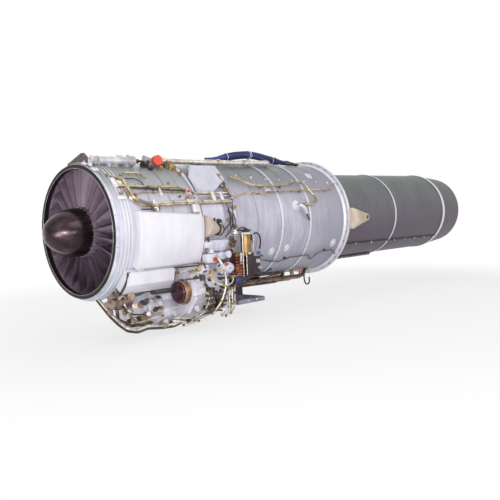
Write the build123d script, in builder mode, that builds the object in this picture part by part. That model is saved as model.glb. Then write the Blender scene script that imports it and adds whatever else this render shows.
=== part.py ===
"""Two-spool afterburning turbojet engine with an overhung fan, at real size in millimetres.

+X runs aft along the engine's axis, +Z is up, and the origin is the centre of the inlet lip.
A clock angle is measured from the top towards the port side, which is -Y.
"""
import os
from math import cos, radians, sin, tan

from build123d import *

os.makedirs("parts", exist_ok=True)

# Lengths of the casings along the axis, front to rear
inlet_ring_length = 30
fan_casing_length = 670
mid_casing_length = 330
combustor_casing_length = 538
turbine_casing_length = 355
exhaust_casing_length = 508
jet_pipe_length = 1997
shroud_length = 422

# Outer radii of the casings
lip_r = 453
front_casing_r = 470
rear_casing_r = 477
main_flange_r = 520
jet_pipe_r = 403
exit_r = 366

# Walls, flanges and clearances
skin = 6
sheet = 3
joint_flange_height = 16
joint_flange_width = 9
tip_gap = 3.5
seat_gap = 0.3
running_gap = 0.05

# Fan and compressors
duct_r = 424
fan_blades = 24
fan_hub_r = 168
fan_depth = 130
bullet_length = 263
low_hub_r = 190
low_hub_rise = 72
drum_end_run = 60
low_stages = 3
high_tip_r = 385
high_hub_r = 300
high_hub_rise = 35
high_drum_length = 380

# Shafts, combustion chamber and turbines
low_shaft_r = 45
low_shaft_bore_r = 33
high_shaft_r = 75
high_shaft_wall = 15
bearing_section = 35
bearing_width = 24
liner_outer_r = 425
liner_inner_r = 262
injectors = 12
turbine_tip_r = 397
turbine_rim_r = 300
disc_width = 40

# Afterburner and nozzle
liner_gap = 15
flaps = 8
flap_length = 356
flap_sheet = 4
flap_hinge_r = 372
flap_angle = 13
flap_pin_r = 4
flap_knuckle_r = 8
flap_knuckle_width = 60
nozzle_travel = 40
nozzle_ring_width = 15

# Accessories
tank_thickness = 56
tank_length = 538
tank_round = 20
gearbox_depth = 232
pad_r = 80
pump_r = 58
top_tube_r = 28
top_pipe_r = 20
harness_r = 33
bracket_reach = 255
bracket_plate = 26
bracket_bore_r = 18

# Stations along the axis
fan_x = inlet_ring_length
mid_x = fan_x + fan_casing_length
combustor_x = mid_x + mid_casing_length
turbine_x = combustor_x + combustor_casing_length
exhaust_x = turbine_x + turbine_casing_length
main_flange_x = exhaust_x + exhaust_casing_length
nozzle_x = main_flange_x + jet_pipe_length
exit_x = nozzle_x + shroud_length


def on_side(x, clock, radius):
    """A workplane on the engine's side: local x runs aft, y up the side and z outwards."""
    a = radians(clock)
    out = (0, -sin(a), cos(a))
    return Plane(origin=(x, radius * out[1], radius * out[2]), x_dir=(1, 0, 0), z_dir=out)


def at(x, clock, radius):
    """The point at a station, clock angle and radius."""
    a = radians(clock)
    return (x, -radius * sin(a), radius * cos(a))


def half_plane(clock):
    """The plane through the axis at a clock angle: local x runs aft and y outwards."""
    a = radians(clock)
    return Plane(origin=(0, 0, 0), x_dir=(1, 0, 0), z_dir=(0, -cos(a), -sin(a)))


def half_section(outline):
    """A closed half section, drawn as (station, radius) corners, for turning about the axis."""
    with BuildSketch(Plane.XZ) as section:
        with BuildLine():
            Polyline(*outline, close=True)
        make_face()
    return section.sketch


def bent_tube(route, radius, bend):
    """A round pipe along straight runs joined by equal bends."""
    with BuildPart() as tube:
        with BuildLine() as path:
            FilletPolyline(*route, radius=bend)
        with BuildSketch(Plane(origin=path.line @ 0, z_dir=path.line % 0)):
            Circle(radius)
        sweep(path=path.line)
    return tube.part


def blade_row(x, root_r, top_r, chord, thickness, stagger, count):
    """A ring of plain staggered blades standing on the axis."""
    with BuildPart() as blade:
        with BuildSketch(Plane.XY.offset(root_r)):
            with Locations((x, 0)):
                Rectangle(chord, thickness, rotation=stagger)
        extrude(amount=top_r - root_r)
    return [blade.part.rotate(Axis.X, k * 360 / count) for k in range(count)]


def ring_of(piece, count, start=0):
    """Copies of a piece spaced evenly round the axis."""
    return [piece.rotate(Axis.X, start + k * 360 / count) for k in range(count)]


def save(builder, name):
    """Labels a finished piece and writes it."""
    builder.part.label = name
    export_step(builder.part, f"parts/{name}.step")


def skin_with_flanges(start, end, radius, front_flange, rear_flange):
    """Half section of a thin casing wall with a bolting flange at each end."""
    return half_section([
        (start, radius - skin), (start, front_flange), (start + joint_flange_width, front_flange),
        (start + joint_flange_width, radius), (end - joint_flange_width, radius),
        (end - joint_flange_width, rear_flange), (end, rear_flange), (end, radius - skin),
    ])


# Inlet ring: the dark lip that leads air onto the fan
lip_round = 11
with BuildPart() as inlet_ring:
    with BuildSketch(Plane.XZ) as lip_section:
        with BuildLine():
            Polyline((0, duct_r), (0, lip_r), (fan_x, lip_r), (fan_x, duct_r), close=True)
        make_face()
        fillet(lip_section.vertices().group_by(Axis.X)[0], radius=lip_round)
    revolve(axis=Axis.X)
save(inlet_ring, "inlet_ring")

# Fan casing: the outer skin round the low-pressure stages, with stiffening ribs behind the lip
rib_height = 5
rib_width = 8
rib_pitch = 26
rib_count = 3
mid_flange_r = front_casing_r + joint_flange_height
fan_wall_x = fan_x + joint_flange_width
with BuildPart() as fan_casing:
    revolve(half_section([
        (fan_x, duct_r), (fan_x, lip_r + skin), (fan_wall_x, lip_r + skin),
        (fan_wall_x + skin, front_casing_r), (mid_x - joint_flange_width, front_casing_r),
        (mid_x - joint_flange_width, mid_flange_r), (mid_x, mid_flange_r),
        (mid_x, front_casing_r - skin), (fan_wall_x + skin, front_casing_r - skin),
        (fan_wall_x, front_casing_r - 2 * skin), (fan_wall_x, duct_r),
    ]), axis=Axis.X)
    for k in range(rib_count):
        rib_x = fan_wall_x + skin + rib_pitch * (k + 0.6)
        revolve(half_section([
            (rib_x, front_casing_r - 1), (rib_x, front_casing_r + rib_height),
            (rib_x + rib_width, front_casing_r + rib_height), (rib_x + rib_width, front_casing_r - 1),
        ]), axis=Axis.X)
save(fan_casing, "fan_casing")

# Low-pressure stator case: the duct wall inside the skin, its vane rows and the front bearing's hub
duct_wall = 7
stator_chord = 46
stator_thickness = 4
stator_count = 18
front_frame_x = fan_x + fan_depth + 45
frame_run = 75
low_stage_pitch = (mid_x - front_frame_x - frame_run) / low_stages
drum_x = front_frame_x + 45
drum_end_x = mid_x - drum_end_run
low_drum_length = drum_end_x - drum_x


def low_hub_at(x):
    """Radius of the low-pressure drum at a station."""
    return low_hub_r + low_hub_rise * (x - drum_x) / low_drum_length


bearing_outer_r = low_shaft_r + bearing_section
with BuildPart() as low_stator_case:
    revolve(half_section([
        (fan_wall_x + seat_gap, duct_r), (fan_wall_x + seat_gap, duct_r + duct_wall),
        (mid_x - joint_flange_width, duct_r + duct_wall),
        (mid_x - joint_flange_width, front_casing_r - skin - seat_gap),
        (mid_x - seat_gap, front_casing_r - skin - seat_gap), (mid_x - seat_gap, duct_r),
    ]), axis=Axis.X)
    add(blade_row(front_frame_x, fan_hub_r + 10, duct_r + 2, stator_chord, 2 * stator_thickness, 12,
                  stator_count))
    for k in range(1, low_stages + 1):
        vane_x = front_frame_x + 5 + k * low_stage_pitch
        add(blade_row(vane_x, low_hub_at(vane_x + stator_chord / 2) + tip_gap, duct_r + 2,
                      stator_chord, stator_thickness, 25, stator_count))
    revolve(half_section([
        (front_frame_x - 24, fan_hub_r + 14), (front_frame_x - 24, fan_hub_r + 20),
        (front_frame_x + 24, fan_hub_r + 20), (front_frame_x + 24, fan_hub_r + 14),
        (front_frame_x + 5, fan_hub_r + 14), (front_frame_x + 5, bearing_outer_r + 10),
        (front_frame_x + bearing_width / 2, bearing_outer_r + 10),
        (front_frame_x + bearing_width / 2, bearing_outer_r + seat_gap),
        (front_frame_x - bearing_width / 2, bearing_outer_r + seat_gap),
        (front_frame_x - bearing_width / 2, bearing_outer_r + 10),
        (front_frame_x - 5, bearing_outer_r + 10), (front_frame_x - 5, fan_hub_r + 14),
    ]), axis=Axis.X)
save(low_stator_case, "low_stator_case")

# Fan blade: a wide lens section that turns from nearly axial at the hub to half across at the tip
blade_sections = [
    # radius, chord, stagger, camber, thickness
    (fan_hub_r - 8, 118, -14, -14, 9),
    ((fan_hub_r + duct_r) / 2, 138, -29, -9, 6),
    (duct_r + 8, 152, -43, -5, 4),
]
fan_disc_x = fan_x + fan_depth / 2
with BuildPart() as fan_blade:
    for radius, chord, stagger, camber, thickness in blade_sections:
        section_plane = Plane(origin=(fan_disc_x, 0, radius)).rotated((0, 0, stagger))
        with BuildSketch(section_plane):
            with BuildLine():
                ThreePointArc((-chord / 2, 0), (0, camber + thickness / 2), (chord / 2, 0))
                ThreePointArc((chord / 2, 0), (0, camber - thickness / 2), (-chord / 2, 0))
            make_face()
    loft()
    with Locations((fan_disc_x, 0, 0)):
        Cylinder(duct_r - tip_gap, 2 * fan_depth, rotation=(0, 90, 0), mode=Mode.INTERSECT)

# Fan rotor: blades on a platform ring, with a disc down to the shaft
with BuildPart() as fan_rotor:
    revolve(half_section([
        (fan_x, fan_hub_r - 18), (fan_x, fan_hub_r), (fan_x + fan_depth, fan_hub_r + 14),
        (fan_x + fan_depth, fan_hub_r - 12), (fan_disc_x + 12, fan_hub_r - 18),
        (fan_disc_x + 8, low_shaft_r + 30), (fan_disc_x + 32, low_shaft_r + 22),
        (fan_disc_x + 32, low_shaft_r), (fan_disc_x - 32, low_shaft_r), (fan_disc_x - 32, low_shaft_r + 22),
        (fan_disc_x - 8, low_shaft_r + 30), (fan_disc_x - 12, fan_hub_r - 18),
    ]), axis=Axis.X)
    add(ring_of(fan_blade.part, fan_blades))
save(fan_rotor, "fan_rotor")

# Nose bullet: a spun shell that turns with the fan
bullet_wall = 4
bullet_r = fan_hub_r - 3
bullet_tip_x = fan_x - bullet_length


def bullet_profile(inset):
    """Control points of the bullet's side, from its rounded tip to its base."""
    return [(bullet_tip_x + inset, 0), (bullet_tip_x + inset, 0.52 * bullet_r - inset),
            (bullet_tip_x + 0.45 * bullet_length, bullet_r - inset), (fan_x, bullet_r - inset)]


with BuildPart() as nose_bullet:
    with BuildSketch(Plane.XZ):
        with BuildLine():
            Bezier(*bullet_profile(0))
            Line((fan_x, bullet_r), (fan_x, bullet_r - bullet_wall))
            Bezier(*bullet_profile(bullet_wall))
            Line((bullet_tip_x + bullet_wall, 0), (bullet_tip_x, 0))
        make_face()
    revolve(axis=Axis.X)
save(nose_bullet, "nose_bullet")

# Low-pressure compressor rotor: a rising drum with three blade rows and a web to the shaft
drum_wall = 9
rotor_chord = 50
rotor_thickness = 4
rotor_count = 20
with BuildPart() as low_compressor_rotor:
    web_x = drum_x + 60
    revolve(half_section([
        (drum_x, low_hub_r - drum_wall), (drum_x, low_hub_r),
        (drum_end_x, low_hub_r + low_hub_rise), (drum_end_x, low_hub_r + low_hub_rise - drum_wall),
        (web_x + 12, low_hub_at(web_x + 12) - drum_wall), (web_x + 12, low_shaft_r + 20),
        (web_x + 30, low_shaft_r + 20), (web_x + 30, low_shaft_r), (web_x - 30, low_shaft_r),
        (web_x - 30, low_shaft_r + 20), (web_x, low_shaft_r + 20), (web_x, low_hub_at(web_x) - drum_wall),
    ]), axis=Axis.X)
    for k in range(low_stages):
        row_x = drum_x + 32 + k * low_stage_pitch
        add(blade_row(row_x, low_hub_at(row_x) - 4, duct_r - tip_gap, rotor_chord, rotor_thickness, -38,
                      rotor_count))
save(low_compressor_rotor, "low_compressor_rotor")

# Intermediate casing: outer skin, struts, flow walls and the housing of the front shaft bearings
strut_count = 8
mid_inner_r = low_hub_r + low_hub_rise
high_x = mid_x + 160
high_wall_r = high_tip_r + tip_gap
high_bearing_r = high_shaft_r + bearing_section
high_bearing_x = high_x - 28
with BuildPart() as intermediate_casing:
    revolve(skin_with_flanges(mid_x, combustor_x, front_casing_r, mid_flange_r,
                              rear_casing_r + joint_flange_height), axis=Axis.X)
    revolve(half_section([
        (mid_x, duct_r), (mid_x, duct_r + duct_wall), (high_x - 22, high_wall_r + duct_wall),
        (high_x - 22, high_wall_r),
    ]), axis=Axis.X)
    revolve(half_section([
        (drum_end_x + 8, mid_inner_r - drum_wall), (drum_end_x + 8, mid_inner_r), (mid_x, mid_inner_r),
        (high_x - 22, high_hub_r), (high_x - 22, high_hub_r - drum_wall),
        (high_bearing_x + 4, high_hub_r - 2 * drum_wall), (high_bearing_x + 4, high_bearing_r + 10),
        (high_bearing_x + bearing_width / 2, high_bearing_r + 10),
        (high_bearing_x + bearing_width / 2, high_bearing_r + seat_gap),
        (high_bearing_x - bearing_width / 2, high_bearing_r + seat_gap),
        (high_bearing_x - bearing_width / 2, high_bearing_r + 10),
        (high_bearing_x - 4, high_bearing_r + 10), (high_bearing_x - 4, high_hub_r - 2 * drum_wall - 6),
    ]), axis=Axis.X)
    add(blade_row(mid_x + 60, mid_inner_r - 2, front_casing_r - skin + 1, 70, 12, 0, strut_count))
save(intermediate_casing, "intermediate_casing")

# High-pressure compressor rotor and the stator case round it
high_row_pitch = 84
high_rows = 4
high_end_x = high_x + high_drum_length


def high_hub_at(x):
    """Radius of the high-pressure drum at a station."""
    return high_hub_r + high_hub_rise * (x - high_x) / high_drum_length


with BuildPart() as high_compressor_rotor:
    revolve(half_section([
        (high_x, high_hub_r - drum_wall), (high_x, high_hub_r), (high_end_x, high_hub_r + high_hub_rise),
        (high_end_x, high_shaft_r), (high_end_x - 14, high_shaft_r),
        (high_end_x - 14, high_hub_r + high_hub_rise - drum_wall), (high_x + 30, high_hub_r - drum_wall),
        (high_x + 30, high_shaft_r), (high_x + 16, high_shaft_r), (high_x + 16, high_hub_r - drum_wall),
    ]), axis=Axis.X)
    for k in range(high_rows):
        row_x = high_x + 30 + k * high_row_pitch
        add(blade_row(row_x, high_hub_at(row_x) - 4, high_tip_r, 32, 3, -40, rotor_count))
save(high_compressor_rotor, "high_compressor_rotor")

high_case_start = high_x - 22 + seat_gap
high_case_wall = 7
with BuildPart() as high_stator_case:
    revolve(half_section([
        (high_case_start, high_wall_r), (high_case_start, high_wall_r + high_case_wall),
        (combustor_x - 8, high_wall_r + high_case_wall), (combustor_x - 8, front_casing_r - skin - seat_gap),
        (combustor_x, front_casing_r - skin - seat_gap), (combustor_x, high_wall_r + high_case_wall),
        (high_end_x + 10, high_wall_r + high_case_wall), (high_end_x + 10, high_wall_r),
    ]), axis=Axis.X)
    for k in range(high_rows):
        vane_x = high_x + 30 + (k + 0.5) * high_row_pitch
        add(blade_row(vane_x, high_hub_at(vane_x + 14) + tip_gap, high_wall_r + 2, 28, 3, 25, stator_count))
save(high_stator_case, "high_stator_case")

# Combustor casing: the wide skin behind the compressor, with a weld band near its middle
weld_x = combustor_x + 260
with BuildPart() as combustor_casing:
    revolve(skin_with_flanges(combustor_x, turbine_x, rear_casing_r, rear_casing_r + joint_flange_height,
                              rear_casing_r + 12), axis=Axis.X)
    revolve(half_section([(weld_x, rear_casing_r - 1), (weld_x, rear_casing_r + 2),
                          (weld_x + 10, rear_casing_r + 2), (weld_x + 10, rear_casing_r - 1)]), axis=Axis.X)
save(combustor_casing, "combustor_casing")

# Inner casing: the diffuser's inner wall, the chamber's inner wall and the high shaft's rear bearing
inner_casing_r = 240
inner_x = high_end_x + tip_gap
hot_bearing_x = turbine_x - 20
with BuildPart() as inner_casing:
    revolve(half_section([
        (inner_x, high_hub_r + high_hub_rise - 12), (inner_x, high_hub_r + high_hub_rise - 6),
        (inner_x + 90, inner_casing_r), (turbine_x + 6, inner_casing_r),
        (turbine_x + 6, inner_casing_r - 6), (hot_bearing_x + 4, inner_casing_r - 6),
        (hot_bearing_x + 4, high_bearing_r + 10), (hot_bearing_x + bearing_width / 2, high_bearing_r + 10),
        (hot_bearing_x + bearing_width / 2, high_bearing_r + seat_gap),
        (hot_bearing_x - bearing_width / 2, high_bearing_r + seat_gap),
        (hot_bearing_x - bearing_width / 2, high_bearing_r + 10), (hot_bearing_x - 4, high_bearing_r + 10),
        (hot_bearing_x - 4, inner_casing_r - 6), (inner_x + 88, inner_casing_r - 6),
    ]), axis=Axis.X)
save(inner_casing, "inner_casing")

# Combustor liner: an annular flame tube, open at the rear, with a seat for each injector
liner_x = inner_x + 95
nozzle_ring_x = turbine_x + 4
injector_r = (liner_outer_r + liner_inner_r) / 2
injector_tip_r = 10
with BuildPart() as combustor_liner:
    revolve(half_section([
        (liner_x, liner_inner_r), (liner_x, liner_outer_r), (nozzle_ring_x - seat_gap, liner_outer_r),
        (nozzle_ring_x - seat_gap, liner_outer_r - sheet), (liner_x + sheet, liner_outer_r - sheet),
        (liner_x + sheet, liner_inner_r + sheet), (nozzle_ring_x - seat_gap, liner_inner_r + sheet),
        (nozzle_ring_x - seat_gap, liner_inner_r),
    ]), axis=Axis.X)
    for k in range(injectors):
        with Locations(Plane(origin=at(liner_x, k * 360 / injectors, injector_r), z_dir=(1, 0, 0))):
            Cylinder(injector_tip_r + seat_gap, 4 * sheet, mode=Mode.SUBTRACT)
save(combustor_liner, "combustor_liner")

# Fuel manifold: a ring main with an arm and a nozzle at each injector
manifold_r = rear_casing_r - skin - 14
manifold_tube_r = 8
manifold_x = liner_x - 26
with BuildPart() as injector:
    with Locations((manifold_x, 0, (manifold_r + injector_r) / 2)):
        Box(14, 14, manifold_r - injector_r + 14)
    with Locations((manifold_x + 17, 0, injector_r)):
        Cylinder(injector_tip_r, 38, rotation=(0, 90, 0))
with BuildPart() as fuel_manifold:
    with BuildSketch(Plane.XZ):
        with Locations((manifold_x, manifold_r)):
            RegularPolygon(manifold_tube_r, 8)
    revolve(axis=Axis.X)
    add(ring_of(injector.part, injectors))
save(fuel_manifold, "fuel_manifold")

# Turbine casing, and the turbine nozzles that stand inside it
hot_wall_r = turbine_tip_r + tip_gap
high_disc_x = turbine_x + 92
low_disc_x = high_disc_x + 150
with BuildPart() as turbine_casing:
    revolve(skin_with_flanges(turbine_x, exhaust_x, rear_casing_r, rear_casing_r + 12,
                              rear_casing_r + 12), axis=Axis.X)
save(turbine_casing, "turbine_casing")

nozzle_vanes = 20
with BuildPart() as turbine_nozzles:
    revolve(half_section([
        (nozzle_ring_x, hot_wall_r), (nozzle_ring_x, rear_casing_r - skin - seat_gap),
        (nozzle_ring_x + 8, rear_casing_r - skin - seat_gap), (nozzle_ring_x + 8, hot_wall_r + 8),
        (low_disc_x + 50, hot_wall_r + 8), (low_disc_x + 50, hot_wall_r),
    ]), axis=Axis.X)
    for disc_x in (high_disc_x, low_disc_x):
        guide_x = disc_x - 70
        add(blade_row(guide_x, turbine_rim_r - 14, hot_wall_r + 2, 52, 7, 40, nozzle_vanes))
        revolve(half_section([
            (guide_x - 18, turbine_rim_r - 22), (guide_x - 18, turbine_rim_r - 6),
            (guide_x + 22, turbine_rim_r - 6), (guide_x + 22, turbine_rim_r - 22),
        ]), axis=Axis.X)
save(turbine_nozzles, "turbine_nozzles")


def turbine_disc(x, shaft_r):
    """Half section of a turbine disc: wide bore, thin web and a rim."""
    return half_section([
        (x - 28, shaft_r), (x - 28, shaft_r + 24), (x - 9, shaft_r + 60), (x - 9, turbine_rim_r - 34),
        (x - disc_width / 2, turbine_rim_r - 16), (x - disc_width / 2, turbine_rim_r),
        (x + disc_width / 2, turbine_rim_r), (x + disc_width / 2, turbine_rim_r - 16),
        (x + 9, turbine_rim_r - 34), (x + 9, shaft_r + 60), (x + 28, shaft_r + 24), (x + 28, shaft_r),
    ])


turbine_blades = 26
with BuildPart() as high_turbine:
    revolve(turbine_disc(high_disc_x, high_shaft_r), axis=Axis.X)
    add(blade_row(high_disc_x, turbine_rim_r - 3, turbine_tip_r, 42, 7, -35, turbine_blades))
save(high_turbine, "high_turbine")

with BuildPart() as low_turbine:
    revolve(turbine_disc(low_disc_x, low_shaft_r), axis=Axis.X)
    add(blade_row(low_disc_x, turbine_rim_r - 3, turbine_tip_r, 42, 7, -35, turbine_blades))
save(low_turbine, "low_turbine")

# Shafts: the low-pressure one runs through the high-pressure one
rear_bearing_x = low_disc_x + 70
high_shaft_start = high_x - 44
with BuildPart() as low_shaft:
    revolve(half_section([
        (fan_disc_x - 34, low_shaft_bore_r), (fan_disc_x - 34, low_shaft_r),
        (rear_bearing_x + 16, low_shaft_r), (rear_bearing_x + 16, low_shaft_bore_r),
    ]), axis=Axis.X)
save(low_shaft, "low_shaft")

with BuildPart() as high_shaft:
    revolve(half_section([
        (high_shaft_start, high_shaft_r - high_shaft_wall), (high_shaft_start, high_shaft_r),
        (high_disc_x + 30, high_shaft_r), (high_disc_x + 30, high_shaft_r - high_shaft_wall),
    ]), axis=Axis.X)
save(high_shaft, "high_shaft")

# Bearings: four races, each between its shaft and its housing
with BuildPart() as bearings:
    for x, shaft_r in ((front_frame_x, low_shaft_r), (high_bearing_x, high_shaft_r),
                       (hot_bearing_x, high_shaft_r), (rear_bearing_x, low_shaft_r)):
        revolve(half_section([
            (x - bearing_width / 2, shaft_r + running_gap),
            (x - bearing_width / 2, shaft_r + bearing_section),
            (x + bearing_width / 2, shaft_r + bearing_section),
            (x + bearing_width / 2, shaft_r + running_gap),
        ]), axis=Axis.X)
save(bearings, "bearings")

# Exhaust casing, ending in the main flange
main_flange_width = 15
with BuildPart() as exhaust_casing:
    revolve(half_section([
        (exhaust_x, rear_casing_r - skin), (exhaust_x, rear_casing_r + 12),
        (exhaust_x + joint_flange_width, rear_casing_r + 12),
        (exhaust_x + joint_flange_width, rear_casing_r),
        (main_flange_x - 2 * main_flange_width, rear_casing_r),
        (main_flange_x - main_flange_width, main_flange_r - 22),
        (main_flange_x - main_flange_width, main_flange_r),
        (main_flange_x, main_flange_r), (main_flange_x, rear_casing_r - skin),
    ]), axis=Axis.X)
save(exhaust_casing, "exhaust_casing")

# Tail cone: a shell behind the turbine on six struts, round the rear bearing's housing
cone_x = low_disc_x + 26
cone_length = 450
cone_struts = 6
with BuildPart() as tail_cone:
    revolve(half_section([
        (cone_x, turbine_rim_r - 6), (cone_x, turbine_rim_r), (cone_x + 130, turbine_rim_r),
        (cone_x + cone_length, 60), (cone_x + cone_length + 30, 0), (cone_x + cone_length + 20, 0),
        (cone_x + cone_length - 6, 52), (cone_x + 128, turbine_rim_r - 6),
        (rear_bearing_x + 4, turbine_rim_r - 6), (rear_bearing_x + 4, bearing_outer_r + 10),
        (rear_bearing_x + bearing_width / 2, bearing_outer_r + 10),
        (rear_bearing_x + bearing_width / 2, bearing_outer_r + seat_gap),
        (rear_bearing_x - bearing_width / 2, bearing_outer_r + seat_gap),
        (rear_bearing_x - bearing_width / 2, bearing_outer_r + 10),
        (rear_bearing_x - 4, bearing_outer_r + 10), (rear_bearing_x - 4, turbine_rim_r - 6),
    ]), axis=Axis.X)
    add(blade_row(cone_x + 75, turbine_rim_r - 3, rear_casing_r - skin - seat_gap - 1.2, 90, 16, 0,
                  cone_struts))
save(tail_cone, "tail_cone")

# Jet pipe: main flange, short cone, long tube with a mid ring and a wide rear ring, flap lugs inside
cone_run = 80
ring_height = 8
mid_ring_x = main_flange_x + 966
mid_ring_width = 22
rear_ring_width = 44
lug_reach = 22
flap_hinge_x = nozzle_x + lug_reach
lug_width = 8
lug_offset = flap_knuckle_width / 2 + lug_width / 2 + 1
with BuildPart() as flap_lug:
    for side in (-1, 1):
        with BuildSketch(Plane.XZ.offset(side * lug_offset - lug_width / 2)):
            with BuildLine():
                Polyline((nozzle_x - 8, flap_hinge_r - 9), (nozzle_x - 8, jet_pipe_r - 1),
                         (nozzle_x, jet_pipe_r - 1), (nozzle_x, jet_pipe_r - 2 * sheet),
                         (flap_hinge_x + 9, flap_hinge_r + 6),
                         (flap_hinge_x + 9, flap_hinge_r - 9), close=True)
            make_face()
        extrude(amount=lug_width)
    with Locations((flap_hinge_x, 0, flap_hinge_r)):
        Cylinder(flap_pin_r, flap_knuckle_width + 2 * lug_width + 2, rotation=(90, 0, 0))
with BuildPart() as jet_pipe:
    revolve(half_section([
        (main_flange_x, rear_casing_r - skin), (main_flange_x, main_flange_r),
        (main_flange_x + main_flange_width, main_flange_r),
        (main_flange_x + main_flange_width, rear_casing_r),
        (main_flange_x + cone_run, jet_pipe_r), (mid_ring_x - mid_ring_width / 2, jet_pipe_r),
        (mid_ring_x - mid_ring_width / 2, jet_pipe_r + ring_height),
        (mid_ring_x + mid_ring_width / 2, jet_pipe_r + ring_height),
        (mid_ring_x + mid_ring_width / 2, jet_pipe_r), (nozzle_x - rear_ring_width, jet_pipe_r),
        (nozzle_x - rear_ring_width, jet_pipe_r + ring_height), (nozzle_x, jet_pipe_r + ring_height),
        (nozzle_x, jet_pipe_r - sheet), (main_flange_x + cone_run, jet_pipe_r - sheet),
        (main_flange_x + main_flange_width, rear_casing_r - skin),
    ]), axis=Axis.X)
    add(ring_of(flap_lug.part, flaps))
save(jet_pipe, "jet_pipe")

# Flange bolts: one ring of hexagon heads and nuts through the main flange
flange_bolts_count = 36
bolt_circle_r = main_flange_r - 9
bolt_head_r = 7
bolt_head = 7
with BuildPart() as flange_bolts:
    for x in (main_flange_x - main_flange_width - bolt_head, main_flange_x + main_flange_width):
        for k in range(flange_bolts_count):
            bolt_clock = (k + 0.5) * 360 / flange_bolts_count
            with BuildSketch(Plane(origin=at(x, bolt_clock, bolt_circle_r), z_dir=(1, 0, 0))):
                RegularPolygon(bolt_head_r, 6)
            extrude(amount=bolt_head)
save(flange_bolts, "flange_bolts")

# Spray manifold and flame holder, both carried by radial arms from the jet pipe's wall
pipe_bore_r = jet_pipe_r - sheet
spray_x = main_flange_x + 130
spray_rings = (300, 180)
spray_tube_r = 7
holder_x = spray_x + 90
gutter_depth = 42
gutter_height = 26
arm_count = 4
with BuildPart() as spray_manifold:
    for ring_r in spray_rings:
        with BuildSketch(Plane.XZ):
            with Locations((spray_x, ring_r)):
                RegularPolygon(spray_tube_r, 8)
        revolve(axis=Axis.X)
    add(blade_row(spray_x, spray_rings[1], pipe_bore_r - seat_gap, 12, 8, 0, arm_count))
save(spray_manifold, "spray_manifold")

with BuildPart() as flame_holder:
    for ring_r in spray_rings:
        revolve(half_section([
            (holder_x, ring_r), (holder_x + gutter_depth, ring_r + gutter_height),
            (holder_x + gutter_depth, ring_r + gutter_height - 2 * sheet), (holder_x + 2 * sheet, ring_r),
            (holder_x + gutter_depth, ring_r - gutter_height + 2 * sheet),
            (holder_x + gutter_depth, ring_r - gutter_height),
        ]), axis=Axis.X)
    add(blade_row(holder_x + 8, spray_rings[1], pipe_bore_r - seat_gap, 14, 8, 0, arm_count))
save(flame_holder, "flame_holder")

# Jet pipe liner: a thin heat shield held off the wall by hoops
shield_x = holder_x + gutter_depth + 30
shield_end_x = nozzle_x - 40
shield_r = pipe_bore_r - liner_gap
hoops = 5
with BuildPart() as jet_pipe_liner:
    revolve(half_section([(shield_x, shield_r - sheet), (shield_x, shield_r), (shield_end_x, shield_r),
                          (shield_end_x, shield_r - sheet)]), axis=Axis.X)
    for k in range(hoops):
        hoop_x = shield_x + 60 + k * (shield_end_x - shield_x - 130) / (hoops - 1)
        revolve(half_section([(hoop_x, shield_r - 1), (hoop_x, pipe_bore_r - seat_gap),
                              (hoop_x + 6, pipe_bore_r - seat_gap), (hoop_x + 6, shield_r - 1)]),
                axis=Axis.X)
save(jet_pipe_liner, "jet_pipe_liner")

# Nozzle shroud: the converging tail skin outside the flaps
with BuildPart() as nozzle_shroud:
    revolve(half_section([
        (nozzle_x + seat_gap, jet_pipe_r - sheet), (nozzle_x + seat_gap, jet_pipe_r), (exit_x, exit_r),
        (exit_x, exit_r - sheet),
    ]), axis=Axis.X)
save(nozzle_shroud, "nozzle_shroud")

# Nozzle ring: slides forward over the flaps' cams to let the nozzle open
nozzle_ring_bore_r = flap_hinge_r + 3
nozzle_ring_start = flap_hinge_x + 82
ring_wall = 8
rod_r = 4
actuators = 4
with BuildPart() as nozzle_ring:
    revolve(half_section([
        (nozzle_ring_start, nozzle_ring_bore_r), (nozzle_ring_start, nozzle_ring_bore_r + ring_wall),
        (nozzle_ring_start + nozzle_ring_width, nozzle_ring_bore_r + ring_wall),
        (nozzle_ring_start + nozzle_ring_width, nozzle_ring_bore_r),
    ]), axis=Axis.X)
    for k in range(actuators):
        clock = (k + 0.25) * 360 / actuators
        with BuildSketch(Plane(origin=at(nozzle_ring_start + 4, clock, nozzle_ring_bore_r + rod_r),
                               z_dir=(-1, 0, 0))):
            Circle(rod_r)
        extrude(amount=nozzle_travel + 28)
save(nozzle_ring, "nozzle_ring")

# Nozzle actuators: short hydraulic cylinders on feet inside the pipe's end, open to the ring's rods
actuator_r = 9
actuator_x = nozzle_x - 24
with BuildPart() as nozzle_actuators:
    for k in range(actuators):
        clock = (k + 0.25) * 360 / actuators
        with BuildSketch(half_plane(clock)):
            with Locations((actuator_x + 11, (nozzle_ring_bore_r + rod_r + pipe_bore_r - seat_gap) / 2)):
                Rectangle(22, pipe_bore_r - seat_gap - nozzle_ring_bore_r - rod_r)
        extrude(amount=6, both=True)
        with BuildSketch(Plane(origin=at(actuator_x, clock, nozzle_ring_bore_r + rod_r), z_dir=(1, 0, 0))):
            Circle(actuator_r)
        extrude(amount=nozzle_ring_start - nozzle_travel - actuator_x - 3)
        with BuildSketch(Plane(origin=at(actuator_x, clock, nozzle_ring_bore_r + rod_r), z_dir=(1, 0, 0))):
            Circle(rod_r + running_gap)
        extrude(amount=nozzle_ring_start - nozzle_travel - actuator_x, mode=Mode.SUBTRACT)
save(nozzle_actuators, "nozzle_actuators")

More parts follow.
